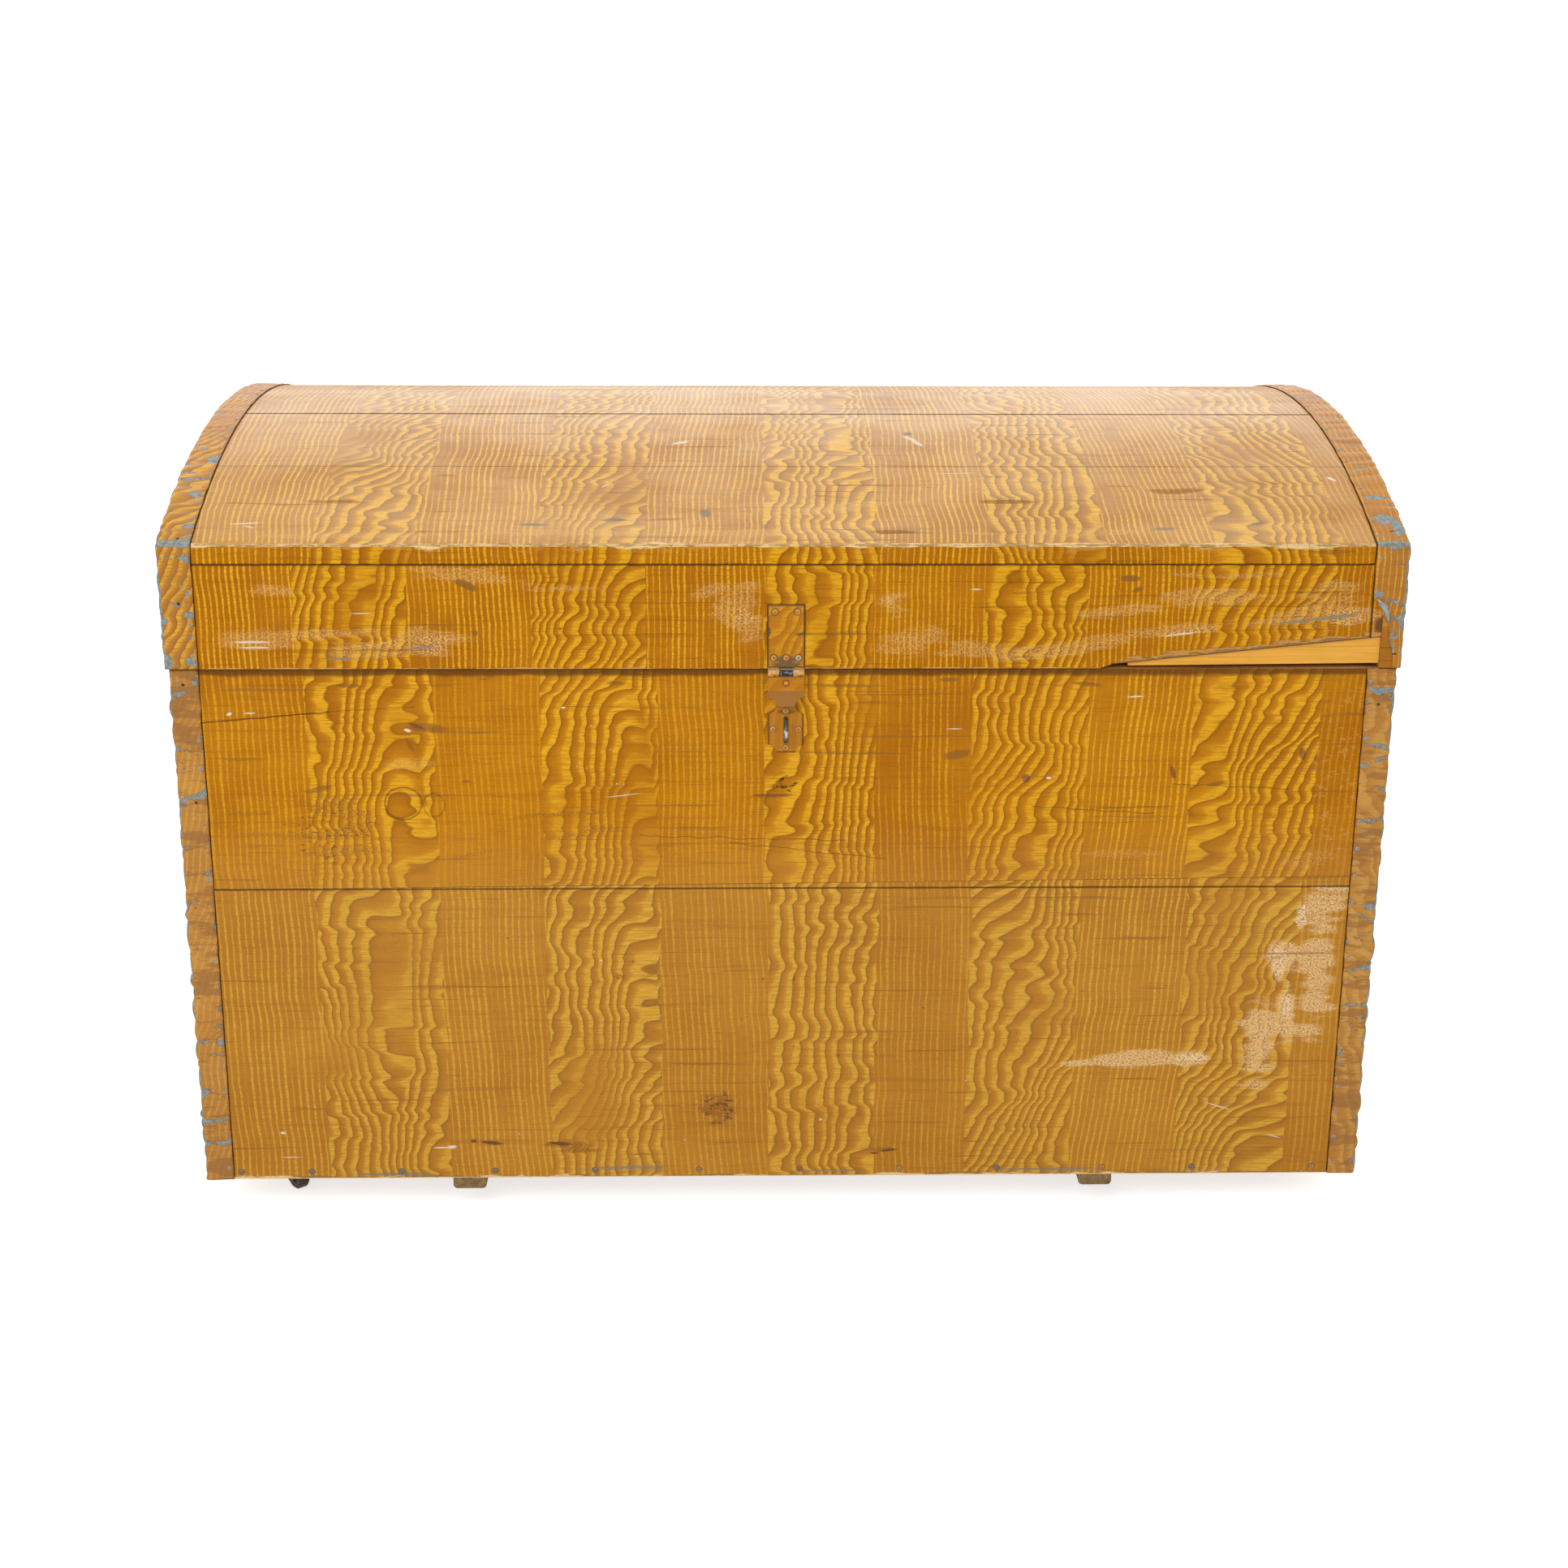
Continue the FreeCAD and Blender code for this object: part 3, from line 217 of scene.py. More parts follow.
def buildGraining():
    # combed lines and the wavy figure of plain-sawn wood, as a comb and a roller draw them
    tree, given, out = newGroup(
        "graining",
        {"Across": 0.0, "Up": 0.0, "Kind": 0.0, "Seed": 0.0, "Lean": 0.0, "Wave": 0.002, "Cover": 1.0,
         "Pitch": 0.0058},
        ("Yellow", "Line", "Height"))
    g = graining
    across, up, seed, pitch = given["Across"], given["Up"], given["Seed"], given["Pitch"]
    seedPlace = times(tree, seed, 37.0)
    # the brush and the wood's own grain leave every line with a rough edge
    rag = streaks(tree, across, up, 300.0, 1100.0, 6.0, 2.0, 0.6)
    across = plus(tree, across, times(tree, minus(tree, rag, 0.5), g["roughEdge"]))

    def field(scaleAcross, scaleUp, offset, detail=1.0):
        place = spot(tree, times(tree, across, scaleAcross), times(tree, up, scaleUp),
                     plus(tree, seedPlace, offset))
        return minus(tree, cloud(tree, place, 1.0, detail), 0.5)

    leaning = plus(tree, across, times(tree, given["Lean"], up))
    # the comb's lines keep together as the hand sways
    sway = times(tree, field(3.0, 11.0, 3.0, 2.0), times(tree, given["Wave"], 6.0))
    shake = times(tree, field(60.0, 90.0, 5.0, 2.0), 0.0016)
    combed = calc(tree, "DIVIDE", plus(tree, plus(tree, leaning, sway), shake), pitch)
    t = calc(tree, "FRACT", combed)
    tooth = times(tree, calc(tree, "ABSOLUTE", minus(tree, t, 0.5)), 2.0)
    toothIndex = calc(tree, "FLOOR", combed)
    own = put(tree, "ShaderNodeTexWhiteNoise", noise_dimensions="2D")
    feed(tree, own.inputs["Vector"], spot(tree, toothIndex, calc(tree, "FLOOR", times(tree, seed, 91.0))))
    width = plus(tree, times(tree, own.outputs["Value"], 0.20), 0.19)
    width = plus(tree, width, times(tree, field(60.0, 22.0, 8.0, 3.0), 0.50))
    fade = plus(tree, field(34.0, 12.0, 11.0, 4.0), times(tree, own.outputs["Value"], 0.16))
    fade = rise(tree, fade, -0.20, 0.08)
    combYellow = times(tree, rise(tree, tooth, plus(tree, width, 0.11), minus(tree, width, 0.11)), fade)

    # the figure: rings of a stretched field, creased into flames and kinked by the roller's small steps
    kink = times(tree, rise(tree, field(9.0, 1.0 / g["kinkLength"], 17.0), -0.08, 0.08), g["kinkSize"])
    kink = plus(tree, kink, times(tree, field(34.0, 1.0 / g["smallKinkLength"], 19.0), g["smallKinkSize"]))
    figure = times(tree, field(g["figureAcross"], g["figureUp"], 23.0, 0.6), g["figureRings"])
    flame = calc(tree, "ABSOLUTE", field(g["flameAcross"], g["flameUp"], 29.0, 0.0))
    figure = plus(tree, figure, times(tree, flame, g["flameRings"]))
    rings = calc(tree, "DIVIDE", plus(tree, leaning, kink), times(tree, pitch, g["heartPitch"]))
    rings = plus(tree, rings, figure)
    r = calc(tree, "FRACT", rings)
    ringYellow = stops(tree, r, [(0.0, 0.05), (0.30, 0.06), (0.46, 0.30), (0.58, 0.90), (0.86, 1.0), (0.93, 0.85),
                                 (1.0, 0.05)])
    ringLine = stops(tree, r, [(0.0, 0.9), (0.05, 0.55), (0.18, 0.22), (0.34, 0.0), (0.91, 0.0), (0.96, 0.9),
                               (1.0, 0.9)])
    quiet = rise(tree, field(9.0, 6.0, 31.0, 2.0), -0.22, -0.04)
    ringYellow = times(tree, ringYellow, plus(tree, times(tree, quiet, 0.8), 0.2))
    ringLine = times(tree, ringLine, plus(tree, times(tree, quiet, 0.6), 0.4))

    # the paint is thin: it breaks up over the board's own cross-wise streaks
    thin = rise(tree, streaks(tree, across, up, 45.0, 620.0, 14.0, 3.0, 0.65), 0.36, 0.56, 0.45, 1.0)
    yellow = times(tree, times(tree, blendValues(tree, given["Kind"], combYellow, ringYellow), thin), given["Cover"])
    combLine = times(tree, rise(tree, tooth, 0.8, 1.0), 0.12)
    line = times(tree, blendValues(tree, given["Kind"], combLine, ringLine), given["Cover"])
    feed(tree, out["Yellow"], yellow)
    feed(tree, out["Line"], line)
    feed(tree, out["Height"], minus(tree, yellow, line))
    return tree


def buildOval():
    # how far a point is from the middle of an oval, where its outline is 1
    tree, given, out = newGroup(
        "oval",
        {"Across": 0.0, "Up": 0.0, "MiddleAcross": 0.0, "MiddleUp": 0.0, "HalfAcross": 0.05, "HalfUp": 0.02,
         "Turn": 0.0},
        ("Far",))
    a = minus(tree, given["Across"], given["MiddleAcross"])
    b = minus(tree, given["Up"], given["MiddleUp"])
    cosine, sine = calc(tree, "COSINE", given["Turn"]), calc(tree, "SINE", given["Turn"])
    along = plus(tree, times(tree, a, cosine), times(tree, b, sine))
    over = minus(tree, times(tree, b, cosine), times(tree, a, sine))
    p = calc(tree, "DIVIDE", along, given["HalfAcross"])
    q = calc(tree, "DIVIDE", over, given["HalfUp"])
    feed(tree, out["Far"], calc(tree, "SQRT", plus(tree, times(tree, p, p), times(tree, q, q))))
    return tree


groups = {"domePlace": buildDomePlace(), "graining": buildGraining(), "oval": buildOval()}
print("shader groups built")

# The painted boards. Each strip is one pull of the tool: where it starts across the face, comb 0 or figure 1,
# its seed, its lean, and how strongly it shows.
frontStrips = [
    (-0.540, 0, 0.11, 0.02, 0.62), (-0.425, 1, 0.23, -0.10, 0.95), (-0.313, 0, 0.37, 0.02, 0.42),
    (-0.219, 1, 0.41, -0.22, 1.0), (-0.117, 0, 0.52, 0.01, 0.58), (-0.019, 1, 0.66, -0.16, 1.0),
    (0.078, 0, 0.71, 0.02, 0.60), (0.163, 1, 0.83, -0.30, 0.95), (0.264, 0, 0.94, -0.07, 0.95),
    (0.358, 1, 0.07, -0.38, 1.0), (0.470, 0, 0.19, -0.05, 0.34),
]
lowerStrips = [
    (-0.540, 0, 0.13, 0.03, 0.75), (-0.423, 1, 0.29, -0.05, 0.95), (-0.312, 0, 0.33, 0.05, 0.75),
    (-0.217, 1, 0.47, -0.25, 1.0), (-0.116, 0, 0.59, 0.05, 0.60), (-0.017, 1, 0.61, -0.08, 1.0),
    (0.081, 0, 0.79, 0.00, 0.55), (0.166, 1, 0.87, -0.35, 0.95), (0.267, 0, 0.91, -0.08, 0.9),
    (0.361, 1, 0.03, -0.40, 1.0), (0.466, 0, 0.17, -0.02, 0.5),
]
lidStrips = [
    (-0.545, 0, 0.15, 0.01, 1.0), (-0.427, 1, 0.27, -0.32, 1.0), (-0.329, 0, 0.31, 0.02, 1.0),
    (-0.224, 1, 0.43, -0.36, 1.0), (-0.126, 0, 0.57, 0.01, 1.0), (-0.021, 1, 0.69, -0.15, 1.0),
    (0.075, 0, 0.73, 0.00, 0.9), (0.170, 1, 0.81, -0.28, 0.95), (0.262, 0, 0.97, 0.00, 1.0),
    (0.347, 1, 0.09, -0.34, 0.95), (0.475, 0, 0.21, -0.05, 0.75),
]
domeStrips = [
    (-0.545, 0, 0.12, 0.00, 1.0), (-0.410, 1, 0.26, -0.30, 0.95), (-0.322, 0, 0.35, 0.02, 1.0),
    (-0.216, 1, 0.45, -0.20, 0.95), (-0.125, 0, 0.55, -0.05, 1.0), (-0.023, 1, 0.65, -0.12, 1.0),
    (0.076, 0, 0.75, 0.00, 1.0), (0.177, 1, 0.85, 0.05, 1.0), (0.275, 0, 0.95, 0.05, 1.0),
    (0.367, 1, 0.05, 0.10, 1.0), (0.481, 0, 0.22, 0.08, 0.7),
]
endStrips = [
    (-0.380, 0, 0.14, 0.02, 0.9), (-0.270, 1, 0.24, -0.30, 1.0), (-0.165, 0, 0.34, 0.03, 1.0),
    (-0.065, 1, 0.44, -0.20, 1.0), (0.035, 0, 0.54, 0.01, 0.9), (0.135, 1, 0.64, -0.35, 1.0),
    (0.235, 0, 0.74, 0.02, 0.9),
]

paint = {name: tone(*colour) for name, colour in {
    "ground": (199, 128, 6), "yellow": (243, 178, 34), "line": (146, 84, 4), "deep": (180, 108, 2),
    "bare": (205, 158, 98), "barePale": (244, 208, 146), "bareDark": (120, 84, 50), "grey": (138, 134, 120),
    # the dark crack tone is also the colour of painted shade along the straps' inner edges and under the lid's back
    # edge
    "crackAndShade": (70, 42, 20), "brown": (146, 96, 40), "rust": (112, 72, 50), "chip": (240, 226, 200),
}.items()}


def stripTable(tree, across, strips, low, high):
    # kind, seed, lean and cover of the strip that a point lies on
    share = rise(tree, across, low, high)
    share.node.interpolation_type = "LINEAR"
    rows = []
    for start, kind, seed, lean, cover in strips:
        rows.append((min(max((start - low) / (high - low), 0.0), 1.0), kind, seed, lean, cover))
    first = stops(tree, share, [(r[0], (r[1], r[2], r[3] * 0.5 + 0.5, 1)) for r in rows], "CONSTANT")
    second = stops(tree, share, [(r[0], r[4]) for r in rows], "CONSTANT")
    values = put(tree, "ShaderNodeSeparateColor")
    feed(tree, values.inputs[0], first)
    lean = times(tree, minus(tree, values.outputs[2], 0.5), 2.0)
    return values.outputs[0], values.outputs[1], lean, second


def paintedSkin(tree, u, v, kind, seed, lean, cover, look):
    # the grained paint alone: its colour and its height, and the two fine textures that wear follows
    grain = use(tree, groups["graining"], Across=u, Up=v, Kind=kind, Seed=plus(tree, seed, look["seed"]),
                Lean=lean, Wave=look["wave"], Cover=cover, Pitch=look["pitch"])
    # the boards' own horizontal grain shows through, with brush marks and grime
    streak = streaks(tree, u, v, 22.0, 900.0, 2.0, 4.0, 0.6)
    band = streaks(tree, u, v, 6.0, 150.0, 5.0, 4.0, 0.6)
    grime = streaks(tree, u, v, 5.0, 7.0, 9.0, 6.0, 0.66)
    fine = cloud(tree, spot(tree, u, v, 0.0), 900.0, 2.0, 0.6)
    colour = blendTones(tree, rise(tree, grime, 0.36, 0.66), look["ground"], look["deep"])
    for part in ("yellow", "line"):
        share = times(tree, grain[part.capitalize()], look[part + "Share"])
        colour = blendTones(tree, share, colour, look[part])
    for texture, low, high, share, tint in (
            (streak, 0.52, 0.72, 0.42, look["line"]), (band, 0.54, 0.7, 0.3, look["line"]),
            (fine, 0.52, 0.75, 0.26, paint["bareDark"]), (fine, 0.46, 0.3, 0.2, look["yellow"])):
        colour = blendTones(tree, times(tree, rise(tree, texture, low, high), share), colour, tint)
    height = plus(tree, times(tree, grain["Height"], 0.5),
                  plus(tree, times(tree, streak, 0.8), times(tree, fine, 0.25)))
    return colour, height, grime, fine


def nearest(tree, u, v, rows):
    # the nearest of several ovals, each (across, up, half width, half height, turn)
    least = None
    for x, z, halfX, halfZ, turn in rows:
        oval = {"MiddleAcross": x, "MiddleUp": z, "HalfAcross": halfX, "HalfUp": halfZ, "Turn": turn}
        far = use(tree, groups["oval"], Across=u, Up=v, **oval)["Far"]
        least = far if least is None else calc(tree, "MINIMUM", least, far)
    return least


def addMarks(tree, colour, height, u, v, marks):
    # scuffs, chips and stains, and on the hasp some painted shade and a painted highlight, each at its own place; also
    # says how much of the gloss is left
    speckle = cloud(tree, spot(tree, times(tree, u, 0.8), v, 3.0), 640.0, 3.0, 0.75)
    drag = minus(tree, streaks(tree, u, v, 14.0, 62.0, 8.0, 5.0, 0.62), 0.5)
    gloss = 1.0
    for tint, grainy, ragged, strength, rows in marks:
        edge = minus(tree, nearest(tree, u, v, rows), times(tree, drag, ragged * 4))
        grain = rise(tree, speckle, grainy * 0.9 - 0.05, grainy * 0.9 + 0.07)
        amount = times(tree, times(tree, rise(tree, edge, 1.0, 0.5), grain), strength)
        colour = blendTones(tree, amount, colour, tint)
        gloss = times(tree, gloss, minus(tree, 1.0, amount))
        if grainy < 0.5:  # the grainy ones only haze the varnish
            height = minus(tree, height, times(tree, amount, 0.5))
    return colour, height, gloss


def ringMark(x, z, halfX, halfZ, width=0.10):
    # the outline that a cup or a knot has left
    def mask(tree, u, v, warp, fine, place):
        far = nearest(tree, u, v, [(x, z, halfX, halfZ, 0.0)])
        away = calc(tree, "ABSOLUTE", minus(tree, far, plus(tree, 0.9, times(tree, warp, 0.2))))
        return rise(tree, away, times(tree, warp, width * 2), 0.0)
    return mask


def speckZone(x, z, halfX, halfZ, least=0.66, fineness=230.0, flat=1.0):
    # small flecks scattered over an oval zone; flat under 1 draws them out along the board
    def mask(tree, u, v, warp, fine, place):
        far = nearest(tree, u, v, [(x, z, halfX, halfZ, 0.0)])
        fleck = cloud(tree, spot(tree, times(tree, u, flat), v, x * 7 + z), fineness, 2.0, 0.5)
        return times(tree, rise(tree, fleck, least, least + 0.03), rise(tree, far, 1.0, 0.6))
    return mask


def scrapes(least, across, up, seed, soft=0.03):
    # brown scrapes and grime along the board, all over the face
    def mask(tree, u, v, warp, fine, place):
        return rise(tree, streaks(tree, u, v, across, up, seed, 5.0, 0.62), least, least + soft)
    return mask


def besideLine(start, end, width, raggedness=1.0):
    # a band of raw wood above a slanted edge
    (x0, z0), (x1, z1) = start, end
    def mask(tree, u, v, warp, fine, place):
        slope = (z1 - z0) / (x1 - x0)
        above = minus(tree, minus(tree, v, z0), times(tree, minus(tree, u, x0), slope))
        streak = streaks(tree, u, v, 40.0, 300.0, z0 * 9, 4.0, 0.6)
        reach = times(tree, plus(tree, 0.5, times(tree, minus(tree, streak, 0.4), 3.0 * raggedness)), width)
        inside = times(tree, rise(tree, u, x0, x0 + 0.02), rise(tree, u, x1 + 0.001, x1))
        return times(tree, rise(tree, above, reach, times(tree, reach, 0.7)), inside)
    return mask


def frameGrimeAndShade(x, z, halfX, halfZ, width=0.0013, inside=False):
    # dirt and painted shade gathered all round a plate, or along its own border
    def mask(tree, u, v, warp, fine, place):
        sides = [minus(tree, calc(tree, "ABSOLUTE", minus(tree, value, middle)), half)
                 for value, middle, half in ((u, x, halfX), (v, z, halfZ))]
        out = calc(tree, "MAXIMUM", *sides)
        reach = times(tree, plus(tree, 0.4, warp), width)
        if inside:
            return rise(tree, plus(tree, out, reach), 0.0, width * 0.3)
        return rise(tree, out, reach, width * 0.3)
    return mask


def shadeBelow(level, depth, goesOn=False):
    # shade and dirt that thins out below an overhanging edge, also on a face that goes on above it
    def mask(tree, u, v, warp, fine, place):
        uneven = times(tree, plus(tree, 0.5, warp), depth)
        dark = rise(tree, v, minus(tree, level, uneven), minus(tree, level, times(tree, uneven, 0.5)))
        return times(tree, dark, calc(tree, "LESS_THAN", v, level + 0.0005)) if goesOn else dark
    return mask


def paintedFace(name, across, up, skin, strips, look, marks=(), lines=(), low=-0.6, high=0.6,
                ahead=None, through=1):
    # one painted face: graining, then scuffs, cracks, worn edges and painted shade. across, up and skin are functions
    # that
    # place nodes: skin gives 1 on the painted face and 0 on bare wood. ahead is such a function with a second
    # look for where it gives 1, and through is the axis that the board's thickness lies along
    material, tree, shader = newMaterial(name)
    place = ownPlace(tree)
    u, v, face = across(tree, place), up(tree, place), skin(tree, place)
    if ahead:
        forward = ahead[0](tree, place)
        look = dict(look, **{key: blendTones(tree, forward, look[key], ahead[1][key])
                             for key in ("ground", "deep", "yellow", "line")})
    wander = times(tree, minus(tree, cloud(tree, spot(tree, 0.0, v, 4.0), 26.0, 3.0), 0.5), 0.012)
    kind, seed, lean, cover = stripTable(tree, plus(tree, u, wander), strips, low, high)
    colour, height, grime, fine = paintedSkin(tree, u, v, kind, seed, lean, cover, look)
    warp = cloud(tree, spot(tree, u, v, 0.0), 34.0, 4.0, 0.6)
    colour, height, gloss = addMarks(tree, colour, height, u, v, marks)
    # cracks, worn edges and painted shade come as functions of the face that give masks
    for build, tint, strength, depth in lines:
        amount = times(tree, build(tree, u, v, warp, fine, place), strength, clamp=True)
        colour = blendTones(tree, amount, colour, tint)
        if depth:
            height = minus(tree, height, times(tree, amount, depth))
        if look.get("varnish"):
            gloss = times(tree, gloss, minus(tree, 1.0, amount))

    # bare wood wherever the paint does not reach
    ring = cloud(tree, spot(tree, times(tree, u, 9.0), times(tree, v, 160.0),
                            times(tree, split(tree, place)[through], 160.0)), 1.0, 4.0, 0.6)
    wood = stops(tree, ring, [(0.25, look["bareDark"]), (0.45, look["bare"]), (0.75, look["barePale"])])
    colour = blendTones(tree, face, wood, colour)
    feed(tree, shader.inputs["Base Color"], colour)
    rough = plus(tree, look["rough"], times(tree, minus(tree, grime, 0.5), 0.25))
    rough = plus(tree, rough, times(tree, minus(tree, 1.0, gloss), 0.3))
    feed(tree, shader.inputs["Roughness"], blendValues(tree, face, 0.75, rough))
    shader.inputs["Specular IOR Level"].default_value = look["specular"]
    if look.get("varnish"):
        # the varnish on the dome shines; the face that looks forward has lost it
        shader.inputs["Coat Roughness"].default_value = 0.34
        shader.inputs["Coat IOR"].default_value = 1.8
        dull = rise(tree, grime, 0.66, 0.4, 0.6, 1.0)
        if ahead:
            dull = times(tree, dull, minus(tree, 1.0, forward))
        dull = times(tree, times(tree, dull, face), gloss)
        feed(tree, shader.inputs["Coat Weight"], times(tree, dull, look["varnish"]))
    feed(tree, shader.inputs["Normal"], bump(tree, height, 0.0006))
    return material


def axisOf(number, factor=1.0):
    def read(tree, place):
        value = split(tree, place)[number]
        return times(tree, value, factor) if factor != 1.0 else value
    return read


edgeArc = -trunk["domeRadius"] * trunk["domeHalfAngle"]


def domeArc(tree, place):
    # along the dome, carried on down the front edge of the first plank
    front = calc(tree, "LESS_THAN", split(tree, place)[1], trunk["lidFront"] + 0.0003)
    drop = minus(tree, trunk["lidEdge"], split(tree, place)[2])
    arc = calc(tree, "MAXIMUM", use(tree, groups["domePlace"], Place=place)["Arc"], edgeArc)
    return minus(tree, arc, times(tree, front, drop))


def nearFront(limit):
    def mask(tree, place):
        return calc(tree, "LESS_THAN", split(tree, place)[1], limit + 0.0004)
    return mask


def nearBack(limit):
    def mask(tree, place):
        return calc(tree, "GREATER_THAN", split(tree, place)[1], limit - 0.0004)
    return mask


def nearEnd(limit):
    def mask(tree, place):
        return calc(tree, "GREATER_THAN", calc(tree, "ABSOLUTE", split(tree, place)[0]), limit - 0.0004)
    return mask


def domeSkin(tree, place):
    x, y, z = split(tree, place)
    radius = use(tree, groups["domePlace"], Place=place)["Radius"]
    out = calc(tree, "GREATER_THAN", radius, trunk["domeRadius"] - 0.0004)
    ahead = calc(tree, "LESS_THAN", y, trunk["lidFront"] + 0.0004)
    behind = calc(tree, "GREATER_THAN", y, trunk["caseBack"] - 0.0004)
    return calc(tree, "MAXIMUM", out, calc(tree, "MAXIMUM", ahead, behind))


# Worn edges: pale wood shows in a ragged band along a height or an arc

def wornBand(level, width, coarse=1.0, least=0.0001):
    def mask(tree, u, v, warp, fine, place):
        away = calc(tree, "ABSOLUTE", minus(tree, v, level))
        long = streaks(tree, u, v, 30.0 * coarse, 140.0, level * 40, 5.0, 0.65)
        reach = times(tree, rise(tree, long, 0.42, 0.68), width)
        reach = calc(tree, "MAXIMUM", plus(tree, reach, times(tree, minus(tree, warp, 0.5), width)), least)
        return rise(tree, away, reach, times(tree, reach, 0.5))
    return mask


def strapShadow(edge, width=0.0011):
    # dirt and shade along the inner edge of a strap
    def mask(tree, u, v, warp, fine, place):
        away = calc(tree, "ABSOLUTE", minus(tree, calc(tree, "ABSOLUTE", u), edge))
        scallop = plus(tree, 0.35, cloud(tree, spot(tree, edge, v, 5.0), 75.0, 3.0, 0.6))
        return rise(tree, away, times(tree, scallop, width), times(tree, scallop, width * 0.4))
    return mask


def darkLine(start, end, width, wobble=0.0015):
    # a crack or joint from one place to another, across the face
    (x0, z0), (x1, z1) = start, end
    def mask(tree, u, v, warp, fine, place):
        slope = (z1 - z0) / (x1 - x0)
        level = plus(tree, times(tree, minus(tree, u, x0), slope), z0)
        stray = times(tree, minus(tree, cloud(tree, spot(tree, u, 0.0, z0 * 9), 60.0, 4.0), 0.5), wobble * 2)
        away = calc(tree, "ABSOLUTE", plus(tree, minus(tree, v, level), stray))
        inside = times(tree, calc(tree, "GREATER_THAN", u, x0), calc(tree, "LESS_THAN", u, x1))
        thin = times(tree, width, plus(tree, 0.4, cloud(tree, spot(tree, u, 3.0, z0 * 5), 45.0, 3.0)))
        return times(tree, rise(tree, away, thin, 0.0), inside)
    return mask


def seamLine(level, width, wobble=0.0006):
    # a joint between boards, from strap to strap
    return darkLine((-0.512, level), (0.512, level), width, wobble)


def lookLike(look, ground, deep, yellow, line, **others):
    # another look with four paint tones of its own
    return dict(look, ground=tone(*ground), deep=tone(*deep), yellow=tone(*yellow), line=tone(*line), **others)


caseLook = dict(paint, seed=0.0, wave=0.0016, pitch=0.0060, rough=0.5, specular=0.1, yellowShare=1.0,
                lineShare=0.75)
lowerLook = lookLike(caseLook, (196, 134, 44), (184, 121, 36), (230, 176, 62), (150, 98, 42), seed=3.1, wave=0.002)
lidLook = lookLike(caseLook, (192, 120, 2), (176, 104, 0), (240, 176, 28), (134, 76, 2), seed=1.3, pitch=0.0053)
domeLook = lookLike(caseLook, (194, 132, 16), (178, 114, 14), (240, 182, 34), (134, 88, 24), seed=2.4,
                    pitch=0.0056, wave=0.0024, varnish=0.75)
endLook = dict(lowerLook, seed=4.2)

hasp = {
    "plateFront": -0.35815, "plateTop": 0.5827, "plateBottom": 0.5272, "half": 0.0158, "kick": 0.5066,
    "bend": 0.5192, "keeperFront": -0.35505, "keeperMiddle": 0.46995, "keeperHalf": (0.0155, 0.02125),
    # the dirt tone is also the colour of painted shade under the knuckle and on the keeper
    "bare": tone(150, 142, 128), "dirtAndShade": tone(112, 74, 30), "chip": tone(100, 98, 96), "brass": tone(214, 156, 76),
    "black": tone(56, 52, 50), "tan": tone(166, 110, 52),
}
plateMiddle = (hasp["plateBottom"] + hasp["plateTop"]) / 2
plateHalf = (hasp["plateTop"] - hasp["plateBottom"]) / 2

# Marks: tint, how grainy, how ragged, how strong, then places as (across, up, half width, half height, turn)
scuff = tone(232, 188, 122)
upperMarks = [
    (scuff, 0.60, 0.5, 0.6, [
        (-0.33, 0.437, 0.03, 0.008, 0.1), (0.470, 0.345, 0.030, 0.012, 0.3), (0.30, 0.352, 0.05, 0.004, 0.0)]),
    (paint["brown"], 0.56, 1.0, 0.75, [
        (-0.402, 0.396, 0.040, 0.010, -0.1), (-0.452, 0.372, 0.055, 0.004, 0.0), (-0.385, 0.376, 0.034, 0.007, 0.15),
        (-0.395, 0.356, 0.045, 0.005, 0.0), (-0.285, 0.352, 0.030, 0.003, 0.2), (-0.470, 0.392, 0.030, 0.003, 0.0),
        (-0.200, 0.3912, 0.048, 0.0035, 0.05), (-0.190, 0.3700, 0.030, 0.003, 0.05), (-0.165, 0.376, 0.020, 0.006, 0.0)]),
    (paint["brown"], 0.42, 0.6, 0.7, [
        (-0.3155, 0.4710, 0.020, 0.005, -0.15), (-0.3310, 0.4556, 0.003, 0.009, 0.5), (-0.2634, 0.5155, 0.011, 0.0022, 0.0),
        (-0.1495, 0.5117, 0.009, 0.0022, 0.0), (-0.3817, 0.5098, 0.010, 0.0020, 0.0), (-0.4120, 0.4150, 0.016, 0.003, 0.2),
        (0.1436, 0.5150, 0.012, 0.0022, 0.0), (0.2653, 0.5104, 0.015, 0.0022, -0.1), (-0.2823, 0.4217, 0.005, 0.002, 0.0),
        (0.1526, 0.4457, 0.013, 0.0050, 0.2), (0.3850, 0.4180, 0.012, 0.0030, 0.1), (0.2980, 0.3960, 0.050, 0.0012, 0.02)]),
    (paint["rust"], 0.38, 0.7, 0.7, [
        (-0.0091, 0.4082, 0.0220, 0.0024, 0.0), (0.4600, 0.4450, 0.0030, 0.0070, 0.2), (0.3449, 0.4301, 0.0020, 0.008, 0.3),
        (0.2140, 0.4230, 0.0035, 0.0050, 0.0), (-0.3245, 0.4730, 0.009, 0.0016, -0.4)]),
    (paint["chip"], 0.30, 0.3, 0.95, [
        (-0.3325, 0.4690, 0.0040, 0.0018, -0.3), (-0.4874, 0.4842, 0.0030, 0.0018, 0.3), (-0.4700, 0.4850, 0.0060, 0.0007, 0.0),
        (-0.1440, 0.4085, 0.0180, 0.0005, 0.12), (-0.1953, 0.4896, 0.0025, 0.0010, 0.0), (0.3080, 0.4990, 0.009, 0.0008, 0.05),
        (0.1498, 0.4697, 0.0090, 0.0006, 0.0), (-0.4205, 0.3149, 0.0030, 0.0014, 0.2), (0.2345, 0.4240, 0.0028, 0.0015, 0.0)]),
]
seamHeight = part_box("front_upper_board")[0][2]
boardSeam = (seamLine(seamHeight, 0.0016, 0.0005), paint["crackAndShade"], 0.85, 1.5)
